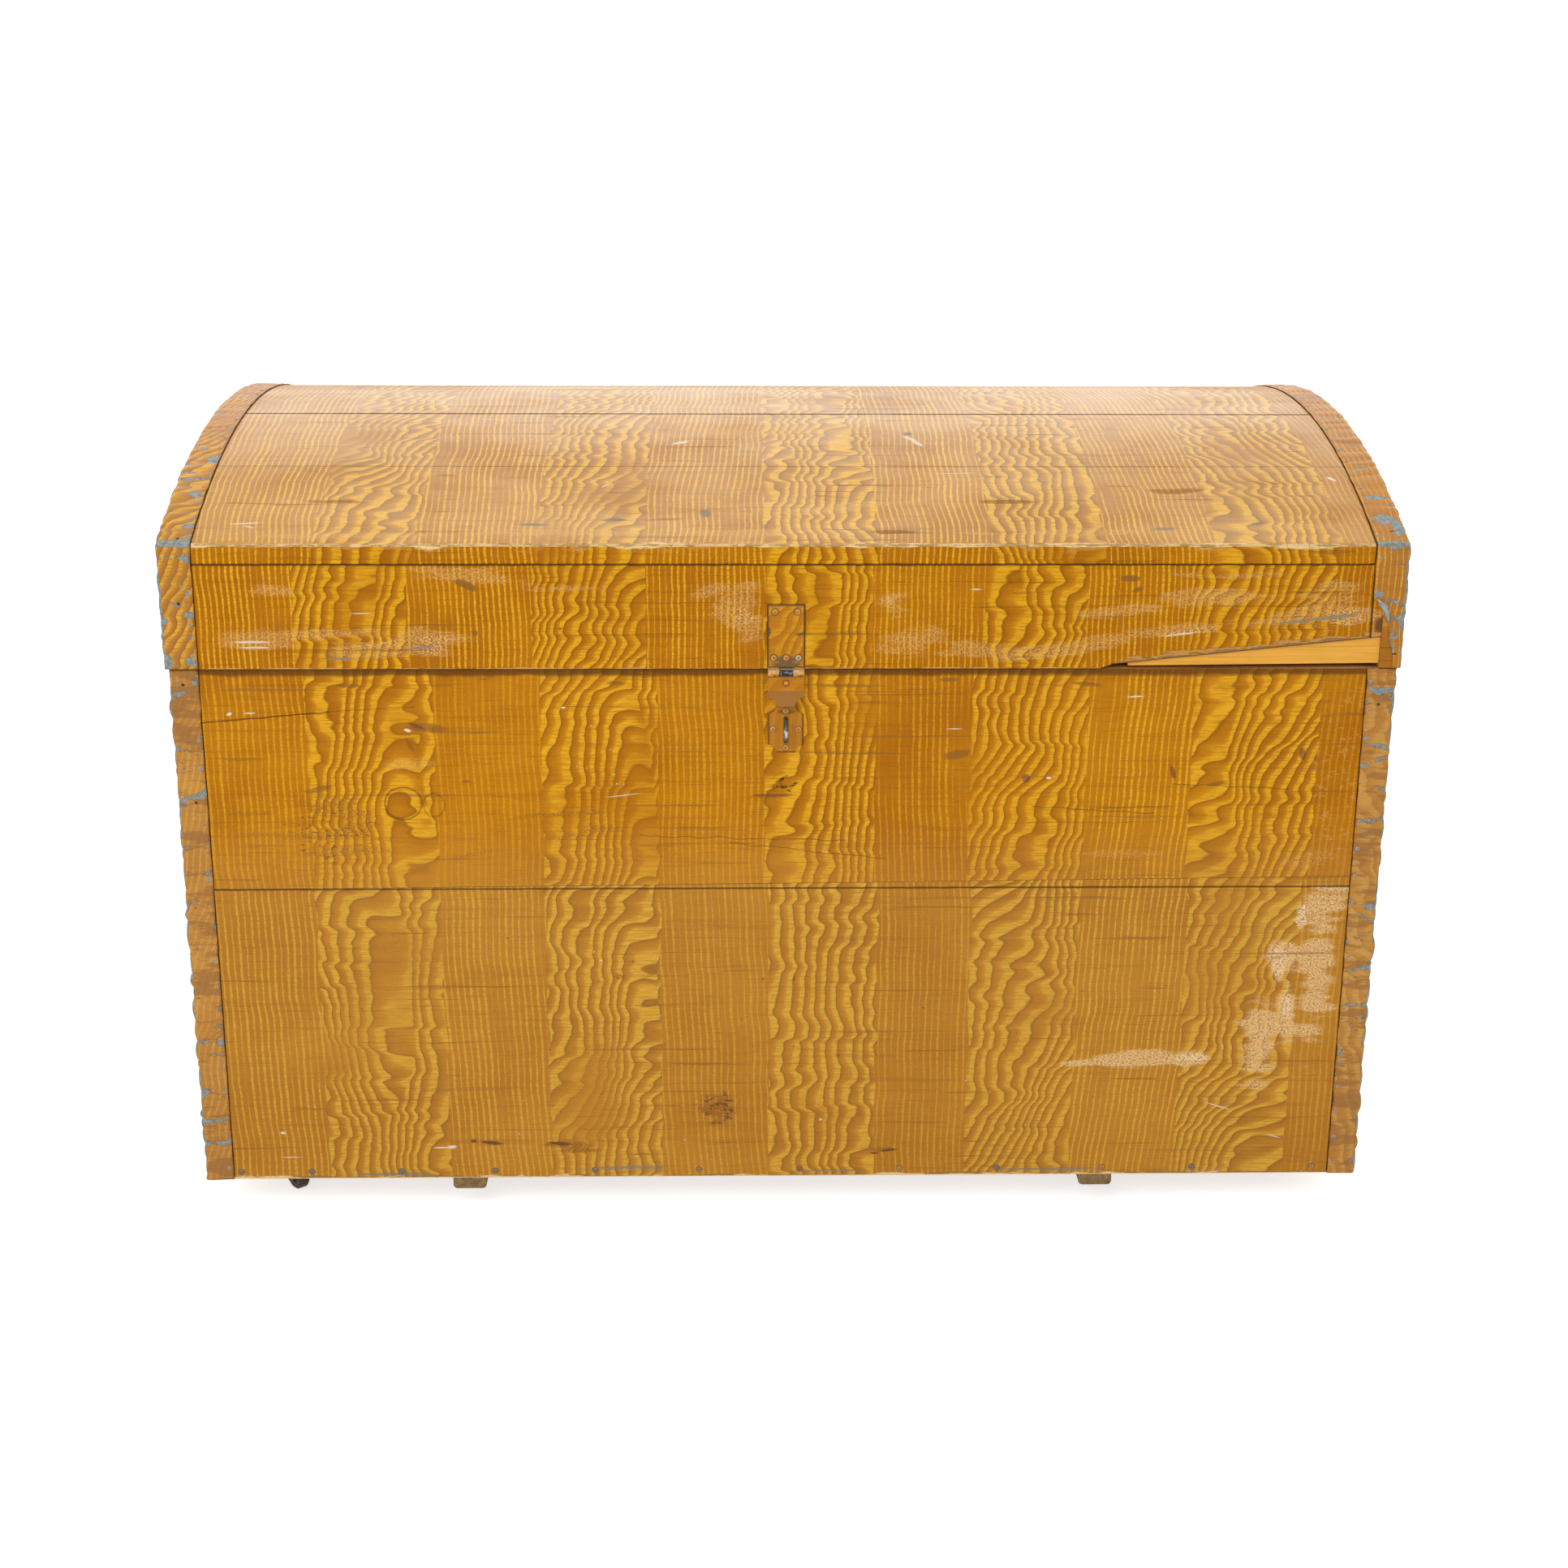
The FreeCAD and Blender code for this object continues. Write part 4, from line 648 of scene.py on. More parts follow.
# wear on the right of the front, and painted shade along the strap's inner edge
wearAndStrapShade = [
    (speckZone(0.497, 0.430, 0.035, 0.10, 0.62, 260.0, 0.6), scuff, 0.22, 0.0),
    (scrapes(0.62, 5.0, 260.0, 4.0), paint["brown"], 0.6, 0.0),
    (scrapes(0.64, 12.0, 90.0, 9.0, 0.08), paint["brown"], 0.45, 0.0),
    # painted shade along the strap's inner edge
    (strapShadow(0.512, 0.0013), paint["crackAndShade"], 0.9, 1.0),
]
def towardSeam(tree, u, v, warp, fine, place):
    # the upper board's colour nears the lower one's where they meet
    return rise(tree, v, seamHeight + 0.085, seamHeight - 0.01)


upperMaterial = paintedFace(
    "caseUpperPaint", axisOf(0), axisOf(2), nearFront(trunk["caseFront"]), frontStrips, caseLook, marks=upperMarks,
    lines=[(towardSeam, tone(194, 140, 66), 0.36, 0.0)] + wearAndStrapShade + [
        (darkLine((-0.515, 0.476), (-0.40, 0.486), 0.0010), paint["crackAndShade"], 0.8, 1.5),
        (darkLine((-0.40, 0.486), (-0.325, 0.4905), 0.0006), paint["crackAndShade"], 0.5, 1.0),
        (ringMark(-0.3390, 0.4014, 0.0165, 0.0150), paint["crackAndShade"], 0.6, 0.8),
        (ringMark(-0.3120, 0.3999, 0.0095, 0.0110, 0.14), paint["crackAndShade"], 0.38, 0.8),
        (darkLine((-0.130, 0.370), (0.055, 0.3655), 0.0007, 0.004), paint["brown"], 0.8, 1.0),
        (darkLine((-0.050, 0.3640), (0.090, 0.3480), 0.0007, 0.003), paint["brown"], 0.8, 1.0),
        (darkLine((0.220, 0.3975), (0.330, 0.3900), 0.0008, 0.002), paint["brown"], 0.8, 1.0),
        (darkLine((0.345, 0.4180), (0.450, 0.4130), 0.0006, 0.002), paint["brown"], 0.8, 1.0),
        (speckZone(-0.165, 0.430, 0.030, 0.060, 0.70), paint["chip"], 0.9, 0.8),
        (speckZone(0.0001, 0.4196, 0.0140, 0.0120, 0.60, 260.0, 0.6), paint["crackAndShade"], 0.8, 1.2),
        (speckZone(-0.405, 0.372, 0.050, 0.035, 0.62, 300.0, 0.5), paint["rust"], 0.6, 1.0),
        boardSeam, (shadeBelow(trunk["rim"], 0.0075), tone(100, 60, 14), 0.85, 0.0)])
lowerMarks = [
    (tone(240, 202, 148), 0.52, 0.8, 0.9, [
        (0.4551, 0.2509, 0.016, 0.022, 0.0), (0.462, 0.205, 0.012, 0.045, 0.05), (0.4861, 0.2348, 0.020, 0.070, 0.0),
        (0.4878, 0.3010, 0.030, 0.020, 0.5), (0.3259, 0.1500, 0.050, 0.010, 0.0), (0.3750, 0.1480, 0.022, 0.014, 0.2),
        (0.2736, 0.1466, 0.030, 0.006, 0.0), (0.440, 0.170, 0.020, 0.050, 0.0)]),
    (tone(250, 222, 182), 0.54, 0.8, 0.9, [
        (0.4530, 0.2360, 0.008, 0.024, 0.1), (0.4620, 0.2050, 0.006, 0.018, 0.0), (0.4700, 0.2900, 0.006, 0.020, 0.0),
        (0.3800, 0.1520, 0.016, 0.004, 0.1)]),
    (paint["brown"], 0.50, 0.9, 0.8, [
        (-0.0607, 0.1032, 0.0180, 0.0180, 0.0), (-0.2006, 0.0667, 0.0380, 0.0050, -0.05), (-0.1880, 0.0610, 0.020, 0.003, 0.0),
        (0.0946, 0.0598, 0.0130, 0.0026, 0.1), (-0.1500, 0.2350, 0.004, 0.0030, 0.0)]),
    (paint["rust"], 0.20, 0.35, 0.9, [
        (-0.2730, 0.0690, 0.0130, 0.0028, -0.1), (-0.2880, 0.0705, 0.0040, 0.0026, 0.0), (-0.2080, 0.0675, 0.0140, 0.0022, -0.1),
        (0.0984, 0.0589, 0.0100, 0.0018, 0.1), (0.0850, 0.0560, 0.005, 0.0014, 0.0)]),
    (paint["chip"], 0.25, 0.3, 0.9, [
        (-0.3084, 0.0648, 0.0060, 0.0026, 0.1), (-0.3180, 0.0640, 0.0110, 0.0012, 0.0), (0.4045, 0.1026, 0.0150, 0.0008, -0.3),
        (0.4598, 0.0710, 0.0080, 0.0008, -0.3), (-0.4571, 0.0549, 0.0140, 0.0006, 0.0), (-0.4640, 0.0800, 0.0030, 0.0016, 0.0)]),
    (paint["grey"], 0.45, 0.8, 0.75, [
        (-0.1600, 0.0420, 0.055, 0.0030, 0.0), (-0.3600, 0.0370, 0.040, 0.0016, 0.0), (0.2400, 0.0385, 0.060, 0.0018, 0.0),
        (0.0400, 0.0380, 0.050, 0.0014, 0.0)]),
]
lowerMaterial = paintedFace(
    "caseLowerPaint", axisOf(0), axisOf(2), nearFront(trunk["caseFront"]), lowerStrips, lowerLook, marks=lowerMarks,
    lines=wearAndStrapShade + [
        (speckZone(-0.0607, 0.1032, 0.020, 0.022, 0.58, 300.0, 0.5), paint["rust"], 0.8, 1.0),
        (speckZone(-0.1668, 0.2614, 0.010, 0.055, 0.70), paint["chip"], 0.9, 0.8),
        (speckZone(-0.02, 0.20, 0.50, 0.12, 0.745, 170.0), paint["rust"], 0.7, 0.8),
        (speckZone(-0.05, 0.10, 0.45, 0.06, 0.76, 150.0), paint["chip"], 0.7, 0.8),
        (wornBand(trunk["underside"], 0.0060, 0.5), tone(150, 116, 70), 0.8, 0.4),
        (wornBand(trunk["underside"], 0.0050, 0.8, 0.0011), paint["barePale"], 1.0, 0.8), boardSeam])
lidMarks = [
    (scuff, 0.55, 1.1, 0.55, [
        (-0.4025, 0.5560, 0.060, 0.007, 0.0), (-0.3600, 0.5440, 0.070, 0.009, 0.05), (-0.3080, 0.5510, 0.030, 0.014, 0.0),
        (-0.4492, 0.5470, 0.040, 0.006, 0.0), (-0.4361, 0.5941, 0.030, 0.005, 0.0), (-0.2856, 0.6120, 0.055, 0.006, -0.1),
        (-0.2578, 0.6060, 0.050, 0.005, -0.08), (-0.3409, 0.6226, 0.040, 0.003, 0.0), (-0.1884, 0.5980, 0.040, 0.004, 0.0),
        (-0.0485, 0.5831, 0.022, 0.012, 0.5), (-0.0344, 0.5650, 0.016, 0.014, 0.6), (-0.0695, 0.5939, 0.020, 0.006, 0.2),
        (0.0923, 0.5830, 0.016, 0.014, 0.0), (0.1141, 0.5503, 0.034, 0.012, 0.0), (0.1639, 0.5430, 0.040, 0.008, 0.0),
        (0.2068, 0.5380, 0.034, 0.007, 0.2), (0.2704, 0.5465, 0.050, 0.006, 0.18), (0.3408, 0.5611, 0.050, 0.007, 0.15),
        (0.3044, 0.5793, 0.050, 0.009, 0.1), (0.3746, 0.5901, 0.060, 0.010, 0.0), (0.4752, 0.5780, 0.036, 0.022, 0.0),
        (0.4468, 0.5719, 0.040, 0.006, 0.15), (0.4801, 0.6009, 0.030, 0.010, 0.0), (0.4100, 0.6080, 0.060, 0.005, 0.0)]),
    (tone(246, 212, 158), 0.60, 0.9, 0.65, [
        (-0.3050, 0.5480, 0.014, 0.009, 0.0), (-0.3800, 0.5490, 0.034, 0.003, 0.0), (0.3500, 0.5580, 0.030, 0.003, 0.15),
        (0.0900, 0.5860, 0.008, 0.008, 0.0), (-0.0360, 0.5720, 0.008, 0.008, 0.5), (0.4900, 0.5720, 0.014, 0.010, 0.0)]),
    (paint["chip"], 0.25, 0.5, 0.7, [
        (-0.4620, 0.5500, 0.016, 0.0012, 0.0), (-0.4600, 0.5450, 0.014, 0.0010, 0.0), (-0.3660, 0.5754, 0.012, 0.0008, 0.0),
        (0.3420, 0.5560, 0.018, 0.0012, 0.12), (0.1640, 0.5965, 0.006, 0.0010, 0.0)]),
    (paint["grey"], 0.35, 0.8, 0.8, [
        (0.4612, 0.5694, 0.040, 0.0018, 0.12), (-0.3127, 0.5456, 0.012, 0.0014, 0.1), (-0.3900, 0.5350, 0.016, 0.0012, 0.0),
        (0.0985, 0.6225, 0.030, 0.0020, 0.0)]),
    (paint["brown"], 0.35, 0.6, 0.85, [
        (-0.2757, 0.5997, 0.012, 0.0040, -0.4), (0.0985, 0.6195, 0.024, 0.0022, 0.0), (-0.1963, 0.5615, 0.004, 0.0020, 0.0),
        (0.3050, 0.5960, 0.006, 0.0030, 0.3), (0.2980, 0.6060, 0.010, 0.0030, 0.0), (-0.2700, 0.5580, 0.003, 0.003, 0.0)]),
    (paint["rust"], 0.30, 0.35, 0.95, [(0.5205, 0.5630, 0.0080, 0.0095, -0.3), (0.5240, 0.5560, 0.006, 0.004, 0.0)]),
]
plankBottom = 0.61844
splitEdge = ((0.285, 0.5293), (0.521, 0.5538))
lidMaterial = paintedFace(
    "lidFrontPaint", axisOf(0), axisOf(2), nearFront(trunk["lidFront"]), lidStrips, lidLook, marks=lidMarks,
    lines=[(scrapes(0.64, 4.0, 240.0, 6.0), paint["brown"], 0.5, 0.8),
           (wornBand(trunk["lidBottom"], 0.0020, 0.7), tone(236, 186, 112), 0.7, 0.5),
           (besideLine(*splitEdge, 0.0064), tone(206, 148, 78), 0.95, 1.2),
           (besideLine(*splitEdge, 0.0022, 2.0), tone(134, 106, 74), 0.75, 0.4),
           (darkLine(*splitEdge, 0.0014, 0.0006), paint["crackAndShade"], 0.8, 1.0),
           (speckZone(0.515, 0.575, 0.012, 0.020, 0.66, 300.0), paint["chip"], 0.9, 0.8),
           (seamLine(plankBottom, 0.0018), paint["crackAndShade"], 0.95, 1.5),
           # dirt and painted shade round the hasp plate
           (frameGrimeAndShade(0.0, plateMiddle, hasp["half"], plateHalf), tone(92, 58, 20), 0.85, 0.8),
           # painted shade along the strap's inner edge
           (strapShadow(0.511, 0.0013), paint["crackAndShade"], 0.9, 1.0)])
seams = {-0.23053: (0.0009, 0.5), -0.08553: (0.0034, 1.0), 0.08553: (0.0026, 0.9), 0.23053: (0.0016, 0.9)}
domeMarks = [
    (scuff, 0.55, 0.9, 0.55, [
        (-0.15, -0.352, 0.12, 0.007, 0.0), (0.25, -0.350, 0.10, 0.006, 0.0), (-0.38, -0.355, 0.09, 0.005, 0.0),
        (0.42, -0.345, 0.08, 0.012, 0.0), (0.05, -0.310, 0.05, 0.010, 0.2), (-0.02, -0.140, 0.10, 0.02, 0.0)]),
    (paint["chip"], 0.35, 0.4, 0.85, [
        (-0.0931, -0.1736, 0.010, 0.0030, 0.5), (0.1182, -0.1622, 0.0100, 0.0030, -0.8), (0.1250, -0.1750, 0.0030, 0.0120, 0.5),
        (0.1569, -0.2446, 0.0240, 0.0010, 0.05), (0.4933, -0.2557, 0.0030, 0.0080, 0.6), (0.0534, -0.2659, 0.0060, 0.0020, 0.0),
        (-0.4698, -0.3365, 0.0180, 0.0016, 0.1), (-0.4640, -0.3420, 0.0100, 0.0016, -0.4), (-0.1600, -0.2700, 0.0060, 0.0010, 0.8)]),
    (paint["grey"], 0.40, 0.8, 0.8, [
        (0.4127, -0.3361, 0.0120, 0.0050, 0.3), (-0.150, -0.3300, 0.0140, 0.0040, 0.0), (-0.070, -0.3200, 0.0060, 0.0100, 0.2),
        (0.330, -0.3450, 0.0200, 0.0030, 0.0), (0.1180, -0.1500, 0.0060, 0.0060, 0.0), (-0.22, -0.3380, 0.016, 0.0030, 0.0)]),
    (paint["brown"], 0.45, 0.9, 0.7, [
        (-0.40, -0.300, 0.030, 0.004, 0.0), (0.36, -0.280, 0.040, 0.006, 0.1), (0.10, -0.350, 0.030, 0.004, 0.0),
        (-0.30, -0.250, 0.020, 0.003, 0.0), (0.20, -0.300, 0.030, 0.003, 0.0)]),
]
domeMaterial = paintedFace(
    "domePaint", axisOf(0), domeArc, domeSkin, domeStrips, domeLook, marks=domeMarks,
    lines=[(scrapes(0.63, 6.0, 150.0, 3.0), paint["brown"], 0.55, 0.8),
           (scrapes(0.60, 3.0, 46.0, 12.0, 0.12), paint["brown"], 0.35, 0.3),
           (wornBand(edgeArc, 0.0095, 1.2), tone(206, 144, 64), 0.7, 0.4),
           (wornBand(edgeArc, 0.0056, 0.7, 0.0019), paint["barePale"], 1.0, 0.8),
           (wornBand(edgeArc, 0.0030, 2.6), paint["brown"], 0.6, 1.2),
           (seamLine(edgeArc - trunk["lidEdge"] + plankBottom, 0.0016), paint["crackAndShade"], 0.9, 1.5)]
    + [(seamLine(arc, width), paint["crackAndShade"], strength, 1.5) for arc, (width, strength) in seams.items()]
    # painted shade along the strap's inner edge
    + [(strapShadow(0.511, 0.0019), paint["crackAndShade"], 0.95, 1.0)],
    ahead=(nearFront(trunk["lidFront"]), lidLook))
everywhere = [(scrapes(0.62, 5.0, 230.0, 2.0), paint["brown"], 0.6, 0.8),
              (scrapes(0.63, 10.0, 60.0, 7.0, 0.1), paint["brown"], 0.5, 0.5)]
footWear = [(wornBand(trunk["underside"], 0.005, 0.8), paint["bare"], 1.0, 0.6)]
endMarks = [
    (scuff, 0.56, 0.9, 0.6, [
        (-0.2, 0.45, 0.08, 0.02, 0.1), (0.1, 0.15, 0.12, 0.02, 0.0), (0.0, 0.33, 0.09, 0.03, 0.0)]),
    (paint["brown"], 0.45, 0.9, 0.7, [(-0.05, 0.40, 0.05, 0.01, 0.0), (0.22, 0.30, 0.03, 0.02, 0.3)]),
]
endMaterial = paintedFace(
    "endPaint", axisOf(1), axisOf(2), nearEnd(trunk["halfCase"]), endStrips, endLook, marks=endMarks,
    lines=everywhere + footWear, low=-0.4, high=0.4, through=0)


def lidEndSkin(tree, place):
    # the end board's own front edge shows beside the wedge, and is painted too
    end = nearEnd(trunk["halfLid"])(tree, place)
    return calc(tree, "MAXIMUM", end, nearFront(trunk["lidFront"] + 0.02)(tree, place))


lidEndMaterial = paintedFace(
    "lidEndPaint", axisOf(1), axisOf(2), lidEndSkin, endStrips,
    dict(endLook, seed=5.3, ground=tone(188, 122, 30), deep=tone(168, 104, 26)),
    lines=everywhere + [(wornBand(trunk["lidBottom"], 0.003), paint["bare"], 0.8, 0.6)],
    low=-0.4, high=0.4, through=0)
backMarks = [
    (scuff, 0.56, 0.9, 0.6, [
        (-0.3, 0.45, 0.10, 0.015, 0.0), (0.25, 0.16, 0.12, 0.02, 0.0), (0.1, 0.56, 0.12, 0.01, 0.0)]),
]
backMaterial = paintedFace(
    "backPaint", axisOf(0, -1.0), axisOf(2), nearBack(trunk["caseBack"]), lowerStrips, dict(lowerLook, seed=6.4),
    marks=backMarks,
    # painted shade under the lid's back edge, in the dark crack tone
    lines=everywhere + footWear + [(shadeBelow(trunk["rim"], 0.004, True), paint["crackAndShade"], 0.6, 0.0)])
print("paint made")


def plainWood(name, light, middle, dark, rough=0.7, along=0, fibre=170.0):
    # unpainted board: long streaks along one axis, with pores and stains
    material, tree, shader = newMaterial(name)
    place = ownPlace(tree)
    parts = list(split(tree, place))
    scaled = [times(tree, p, 7.0 if i == along else fibre) for i, p in enumerate(parts)]
    streak = cloud(tree, spot(tree, *scaled), 1.0, 5.0, 0.62)
    broad = cloud(tree, place, 14.0, 4.0)
    colour = stops(tree, streak, [(0.22, dark), (0.45, middle), (0.72, light)])
    colour = blendTones(tree, times(tree, rise(tree, broad, 0.42, 0.75), 0.5), colour, dark)
    feed(tree, shader.inputs["Base Color"], colour)
    shader.inputs["Roughness"].default_value = rough
    shader.inputs["Specular IOR Level"].default_value = 0.25
    feed(tree, shader.inputs["Normal"], bump(tree, streak, 0.0006))
    return material


def metal(name, light, dark, metallic, rough, scale):
    # aged metal: two mottled tones and pitting
    material, tree, shader = newMaterial(name)
    place = ownPlace(tree)
    mottle = cloud(tree, place, scale, 5.0, 0.65)
    pits = cloud(tree, place, scale * 4, 3.0, 0.6)
    colour = stops(tree, mottle, [(0.32, dark), (0.62, light)])
    feed(tree, shader.inputs["Base Color"], colour)
    shader.inputs["Metallic"].default_value = metallic
    feed(tree, shader.inputs["Roughness"], plus(tree, rough, times(tree, minus(tree, pits, 0.5), 0.3)))
    feed(tree, shader.inputs["Normal"], bump(tree, pits, 0.0003))
    return material


finishes = {
    "floorWood": plainWood("floorWood", tone(214, 178, 128), tone(186, 146, 98), tone(132, 98, 62)),
    "runnerWood": plainWood("runnerWood", tone(166, 138, 98), tone(130, 104, 68), tone(76, 58, 38), along=1,
                            fibre=240.0),
    "wedgeWood": plainWood("wedgeWood", tone(248, 188, 84), tone(238, 172, 62), tone(192, 128, 44), rough=0.6,
                           fibre=330.0),
    "screwSteel": metal("screwSteel", tone(196, 150, 84), tone(96, 78, 58), 0.35, 0.45, 700.0),
    "darkIron": metal("darkIron", tone(96, 92, 84), tone(42, 38, 34), 0.7, 0.5, 300.0),
    "casterIron": metal("casterIron", tone(84, 76, 66), tone(38, 32, 28), 0.6, 0.55, 260.0),
    "wheelWood": plainWood("wheelWood", tone(92, 66, 50), tone(64, 44, 32), tone(34, 24, 18), rough=0.5,
                           fibre=400.0),
}

# The hasp and its keeper were painted over with the trunk, and have worn since; painted shade and a painted highlight
# are drawn on them too

def facesFront(tree, place):
    normal = put(tree, "ShaderNodeTexCoord").outputs["Normal"]
    return rise(tree, split(tree, normal)[1], -0.4, -0.6)


def levelStep(level, soft, up=False):
    # everything below a level, or above it
    def mask(tree, u, v, warp, fine, place):
        stray = plus(tree, v, times(tree, minus(tree, fine, 0.5), soft * 4))
        reach = soft if up else -soft
        return rise(tree, stray, level - reach, level + reach)
    return mask


haspLook = lookLike(lidLook, (194, 122, 14), (184, 114, 20), (226, 160, 26), (170, 104, 12), seed=5.5,
                    pitch=0.0075, rough=0.48, specular=0.14, bare=hasp["bare"], barePale=tone(196, 190, 178),
                    bareDark=tone(96, 88, 76))
rivetRows = [(x, z, 0.0043, 0.0043, 0.0) for x, z in (
    (-0.0098, 0.5769), (0.0098, 0.5769), (-0.0108, 0.5358), (0.0, 0.5358), (0.0108, 0.5358))]
keeperRows = [(x, hasp["keeperMiddle"] + z, 0.0034, 0.0034, 0.0) for x, z in (
    (-0.0112, 0.0), (0.0112, 0.0), (0.0, 0.017), (0.0, -0.017))]
platePaint = paintedFace(
    "haspPlatePaint", axisOf(0), axisOf(2), facesFront, [(-0.6, 1, 0.39, -0.62, 0.75)], haspLook,
    marks=[(tone(72, 48, 26), 0.10, 0.1, 1.0, rivetRows),
           (tone(118, 94, 66), 0.30, 0.4, 0.9, [
               (0.0, 0.5340, 0.0130, 0.0044, 0.0), (0.0, 0.5295, 0.0190, 0.0034, 0.0)]),
           (hasp["dirtAndShade"], 0.10, 0.3, 0.9, [
               (0.0122, 0.5571, 0.0052, 0.0014, 0.12), (-0.0150, 0.5595, 0.0020, 0.0044, 0.0),
               (-0.0158, 0.5710, 0.0009, 0.0050, 0.0)]),
           (hasp["chip"], 0.05, 0.3, 1.0, [
               (0.0124, 0.5572, 0.0046, 0.0010, 0.12), (-0.0153, 0.5595, 0.0016, 0.0036, 0.0)])],
    lines=[(frameGrimeAndShade(0.0, plateMiddle, hasp["half"], plateHalf, 0.0011, True), hasp["dirtAndShade"], 0.9, 0.3),
           (levelStep(hasp["plateBottom"] - 0.0002, 0.0004), hasp["brass"], 1.0, 0.2),
           (speckZone(0.0, 0.5235, 0.022, 0.0040, 0.54, 420.0), tone(240, 212, 168), 0.6, 0.4),
           # painted shadow under the knuckle
           (speckZone(0.0, 0.5205, 0.022, 0.0022, 0.50, 520.0), hasp["dirtAndShade"], 0.8, 0.4)])
leafPaint = paintedFace(
    "haspLeafPaint", axisOf(0), axisOf(2), facesFront, [(-0.6, 1, 0.52, -0.3, 0.35)],
    dict(haspLook, seed=6.1, ground=tone(198, 124, 20), deep=tone(186, 112, 24)),
    # the rivet on the leaf: a darker ring round its foot, and a paler middle that is a painted highlight
    marks=[(hasp["dirtAndShade"], 0.10, 0.1, 0.7, [(0.0, 0.5135, 0.0038, 0.0038, 0.0)]),
           (tone(226, 164, 62), 0.10, 0.1, 0.9, [(0.0, 0.5138, 0.0024, 0.0022, 0.0)])],
    lines=[(levelStep(hasp["kick"], 0.0007), hasp["tan"], 0.95, 0.0),
           (speckZone(0.0, 0.500, 0.018, 0.0080, 0.60, 500.0), tone(146, 112, 76), 0.6, 0.2),
           (levelStep(hasp["bend"], 0.0003, up=True), hasp["black"], 1.0, 0.2),
           (speckZone(0.0, 0.5230, 0.010, 0.0040, 0.56, 500.0), tone(150, 148, 146), 0.7, 0.2)])
keeperPaint = paintedFace(
    "keeperPaint", axisOf(0), axisOf(2), facesFront, [(-0.6, 0, 0.52, 0.0, 0.3)],
    dict(haspLook, seed=6.9, ground=tone(194, 126, 34), deep=tone(182, 114, 28), bare=tone(152, 100, 38),
         barePale=tone(206, 150, 66), bareDark=tone(96, 64, 26)),
    marks=[(hasp["dirtAndShade"], 0.10, 0.1, 0.6, keeperRows),
           # painted shadow that the hasp leaf casts across the keeper's top, and painted shade round the staple
           (hasp["dirtAndShade"], 0.20, 0.3, 0.7, [
               (0.0, 0.4700, 0.0030, 0.0130, 0.0), (0.0, 0.4860, 0.0090, 0.0030, 0.0)])],
    # dirt and painted shade along the keeper's border
    lines=[(frameGrimeAndShade(0.0, hasp["keeperMiddle"], *hasp["keeperHalf"], 0.0013, True), tone(96, 62, 28), 0.9, 0.3)])


def headPaint(name, base, light, middle, dark, worn, wornShare, dome=False):
    # a nail's or rivet's head: it is darker in a ring round its foot, and its middle has darkened again.
    # base is the height at which heads start in front of y, beyond x, behind the back and above the dome
    material, tree, shader = newMaterial(name)
    place = ownPlace(tree)
    x, y, z = split(tree, place)
    height = minus(tree, base["front"], y)
    if "end" in base:
        height = calc(tree, "MAXIMUM", height, minus(tree, calc(tree, "ABSOLUTE", x), base["end"]))
        height = calc(tree, "MAXIMUM", height, minus(tree, y, trunk["caseBack"]))
    if dome:
        height = calc(tree, "MAXIMUM", height, minus(tree, use(tree, groups["domePlace"], Place=place)["Radius"],
                                                    trunk["domeRadius"]))
    height = minus(tree, height, base["foot"])
    fine = cloud(tree, place, 900.0, 3.0, 0.6)
    ragged = plus(tree, height, times(tree, minus(tree, fine, 0.5), 0.0003))
    colour = stops(tree, cloud(tree, place, 90.0, 3.0), [(0.40, middle), (0.60, light)])
    patchy = rise(tree, cloud(tree, place, 48.0, 2.0), 0.62 - wornShare, 0.66 - wornShare)
    colour = blendTones(tree, patchy, colour, worn)
    colour = blendTones(tree, times(tree, rise(tree, ragged, base["tall"] * 0.80, base["tall"]), 0.6), colour, dark)
    colour = blendTones(tree, rise(tree, ragged, base["tall"] * 0.42, base["tall"] * 0.18), colour, dark)
    feed(tree, shader.inputs["Base Color"], colour)
    feed(tree, shader.inputs["Roughness"], plus(tree, 0.32, times(tree, fine, 0.3)))
    shader.inputs["Specular IOR Level"].default_value = 0.4
    feed(tree, shader.inputs["Normal"], bump(tree, fine, 0.0003))
    return material


strapHeads = {"front": trunk["caseFront"], "end": trunk["halfCase"], "foot": 0.0009, "tall": 0.0009}
lidHeads = dict(strapHeads, front=trunk["lidFront"], end=trunk["halfLid"])
zincTones = (tone(150, 156, 150), tone(112, 120, 116))
plateHeads = {"front": hasp["plateFront"], "foot": 0.0, "tall": 0.0010}
finishes["cornerNails"] = headPaint(
    "cornerNailPaint", strapHeads, tone(206, 152, 84), tone(176, 124, 62), tone(92, 66, 44), zincTones[0], 0.16)
finishes["lidNails"] = headPaint(
    "lidNailPaint", lidHeads, tone(208, 150, 70), tone(178, 122, 50), tone(84, 60, 40), zincTones[0], 0.20, dome=True)
finishes["boardNails"] = headPaint(
    "boardNailPaint", dict(strapHeads, foot=0.0), tone(186, 134, 70), tone(142, 104, 62), tone(70, 50, 34),
    tone(120, 112, 100), 0.14)
finishes["haspRivets"] = headPaint(
    "haspRivetPaint", plateHeads, tone(224, 156, 52), tone(204, 136, 40), tone(76, 56, 36), tone(196, 178, 146), 0.12)
finishes["keeperRivets"] = headPaint(
    "keeperRivetPaint", dict(plateHeads, front=hasp["keeperFront"]), tone(214, 146, 58), tone(196, 128, 44),
    tone(90, 60, 30), tone(206, 160, 96), 0.10)


